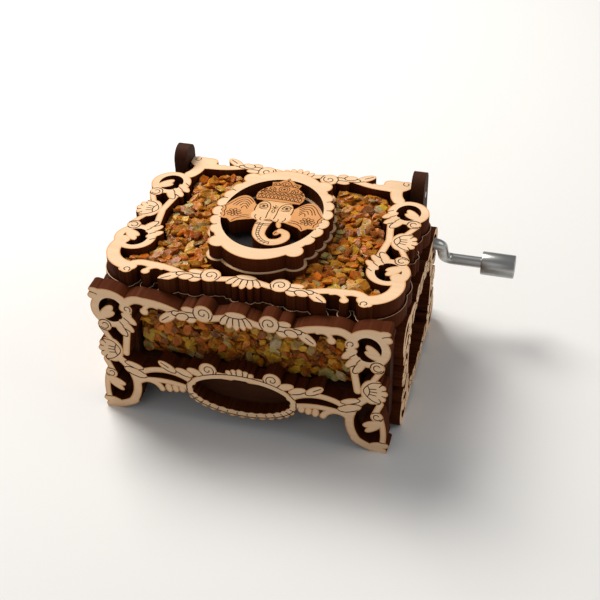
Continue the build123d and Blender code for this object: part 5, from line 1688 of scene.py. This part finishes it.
class CarriedOver:
    """CAD nodes that keep their shape and get a finish."""

    def __init__(self, finishes: Finishes) -> None:
        """Names each node's finish."""
        f = finishes
        self.dress = {
            "base_board": f.stained, "left_wall": f.stained_side, "right_wall": f.stained_side,
            "front_wall": f.stained, "back_wall": f.stained, "front_spacer": f.stained,
            "medallion_ground": f.ground, "hinge_pins": f.steel, "bedplate": f.zinc,
            "comb": f.comb_steel, "comb_screws": f.steel, "movement_screws": f.steel,
            "bracket_screws": f.steel, "front_cylinder_bracket": f.zinc,
            "rear_cylinder_bracket": f.zinc, "inner_crank_bracket": f.zinc,
            "outer_crank_bracket": f.zinc, "music_cylinder": f.brass, "cylinder_caps": f.brass,
            "cylinder_arbor": f.steel, "worm_wheel": f.plastic, "worm_shaft": f.steel,
        }

    def build(self) -> None:
        """Assign the finishes."""
        for name, material in self.dress.items():
            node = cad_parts[name]
            node.data.materials.clear()
            node.data.materials.append(material)
            LOG.info("%s: dressed in %s", name, material.name)


# ---- studio ---------------------------------------------------------------------------
@dataclass(frozen=True)
class Lamp:
    """A soft square lamp."""

    name: str
    place: Colour
    power: float
    size: float
    tint: Colour = (1.0, 1.0, 1.0)

    def build(self, aim: Vector) -> None:
        """Hang the lamp and point it."""
        data = bpy.data.lights.new(self.name, "AREA")
        data.energy, data.size, data.color = self.power, self.size, self.tint
        lamp = bpy.data.objects.new(self.name, data)
        lamp.location = self.place
        lamp.rotation_mode = "QUATERNION"
        lamp.rotation_quaternion = (aim - Vector(self.place)).to_track_quat("-Z", "Y")
        bpy.context.scene.collection.objects.link(lamp)


@dataclass(frozen=True)
class Studio:
    """Floor, world, lamps and the photograph's camera."""

    eye: Colour = (0.0700, -0.22163, 0.19830)
    azimuth: float = 15.83
    elevation: float = 37.81
    roll: float = -1.36
    lens: float = 67.39
    sensor: float = 36.0
    floor: Colour = (0.80, 0.79, 0.77)
    world: Colour = (0.95, 0.97, 1.0)
    world_strength: float = 0.26

    def camera(self) -> None:
        """Put the camera where the photograph was taken from."""
        a, e, r = (math.radians(x) for x in (self.azimuth, self.elevation, self.roll))
        ahead = Vector((-math.sin(a) * math.cos(e), math.cos(a) * math.cos(e), -math.sin(e)))
        right = ahead.cross(Vector((0, 0, 1))).normalized()
        up = right.cross(ahead)
        tilted = right * math.cos(r) + up * math.sin(r)
        top = up * math.cos(r) - right * math.sin(r)
        data = bpy.data.cameras.new("photo_camera")
        data.lens, data.sensor_width = self.lens, self.sensor
        data.clip_start, data.clip_end = 0.01, 20.0
        camera = bpy.data.objects.new("photo_camera", data)
        turn = Matrix((tilted, top, -ahead)).transposed().to_4x4()
        camera.matrix_world = Matrix.Translation(self.eye) @ turn
        bpy.context.scene.collection.objects.link(camera)
        bpy.context.scene.camera = camera

    def ground(self) -> None:
        """Lay a wide pale floor."""
        size = 3.0
        mesh = bpy.data.meshes.new("floor")
        mesh.from_pydata([(-size, -size, 0), (size, -size, 0), (size, size, 0),
                          (-size, size, 0)], [], [(0, 1, 2, 3)])
        floor = bpy.data.objects.new("floor", mesh)
        bpy.context.scene.collection.objects.link(floor)
        material = bpy.data.materials.new("floor")
        material.use_nodes = True
        shader = material.node_tree.nodes["Principled BSDF"]
        shader.inputs["Base Color"].default_value = (*self.floor, 1)
        shader.inputs["Roughness"].default_value = 0.9
        shader.inputs["Specular IOR Level"].default_value = 0.1
        mesh.materials.append(material)

    def build(self) -> None:
        """Set the stage."""
        self.camera()
        self.ground()
        world = bpy.data.worlds.new("studio")
        world.use_nodes = True
        back = world.node_tree.nodes["Background"]
        back.inputs["Color"].default_value = (*self.world, 1)
        back.inputs["Strength"].default_value = self.world_strength
        bpy.context.scene.world = world
        aim = Vector((0.0, 0.0, 0.02))
        for lamp in (Lamp("key", (-0.32, 0.26, 0.52), 5.2, 0.34, (1.0, 0.97, 0.93)),
                     Lamp("front_fill", (-0.15, -0.55, 0.30), 0.35, 0.5),
                     Lamp("right_fill", (0.60, 0.05, 0.35), 0.8, 0.4)):
            lamp.build(aim)
        bpy.context.scene.view_settings.view_transform = "Standard"


def main() -> None:
    """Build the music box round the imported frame."""
    logging.basicConfig(level=logging.INFO, format="%(name)s %(message)s")
    finishes = Finishes()
    Studio().build()
    Fretwork(finishes).build()
    Lid(finishes).build()
    rim = ellipse((0.0, BOX.med_y), BOX.med_rx + BOX.ring_band - 0.4,
                  BOX.med_ry + BOX.ring_band + 1.9)
    ChipBed("lid_amber", top_sheet(BOX.border_z), lid_bed(), "lid_chips", "lid", 11, finishes,
            hole=rim).build()
    ChipBed("front_amber", Sheet((0, BOX.front_wall_y, 0), (1, 0, 0), (0, 0, 1), (0, -1, 0)),
            box_cut((-26.8, 16.3), (26.8, 30.1)), "front_chips", "box", 5, finishes).build()
    Crank(finishes).build()
    CarriedOver(finishes).build()


if __name__ == "__main__":
    main()
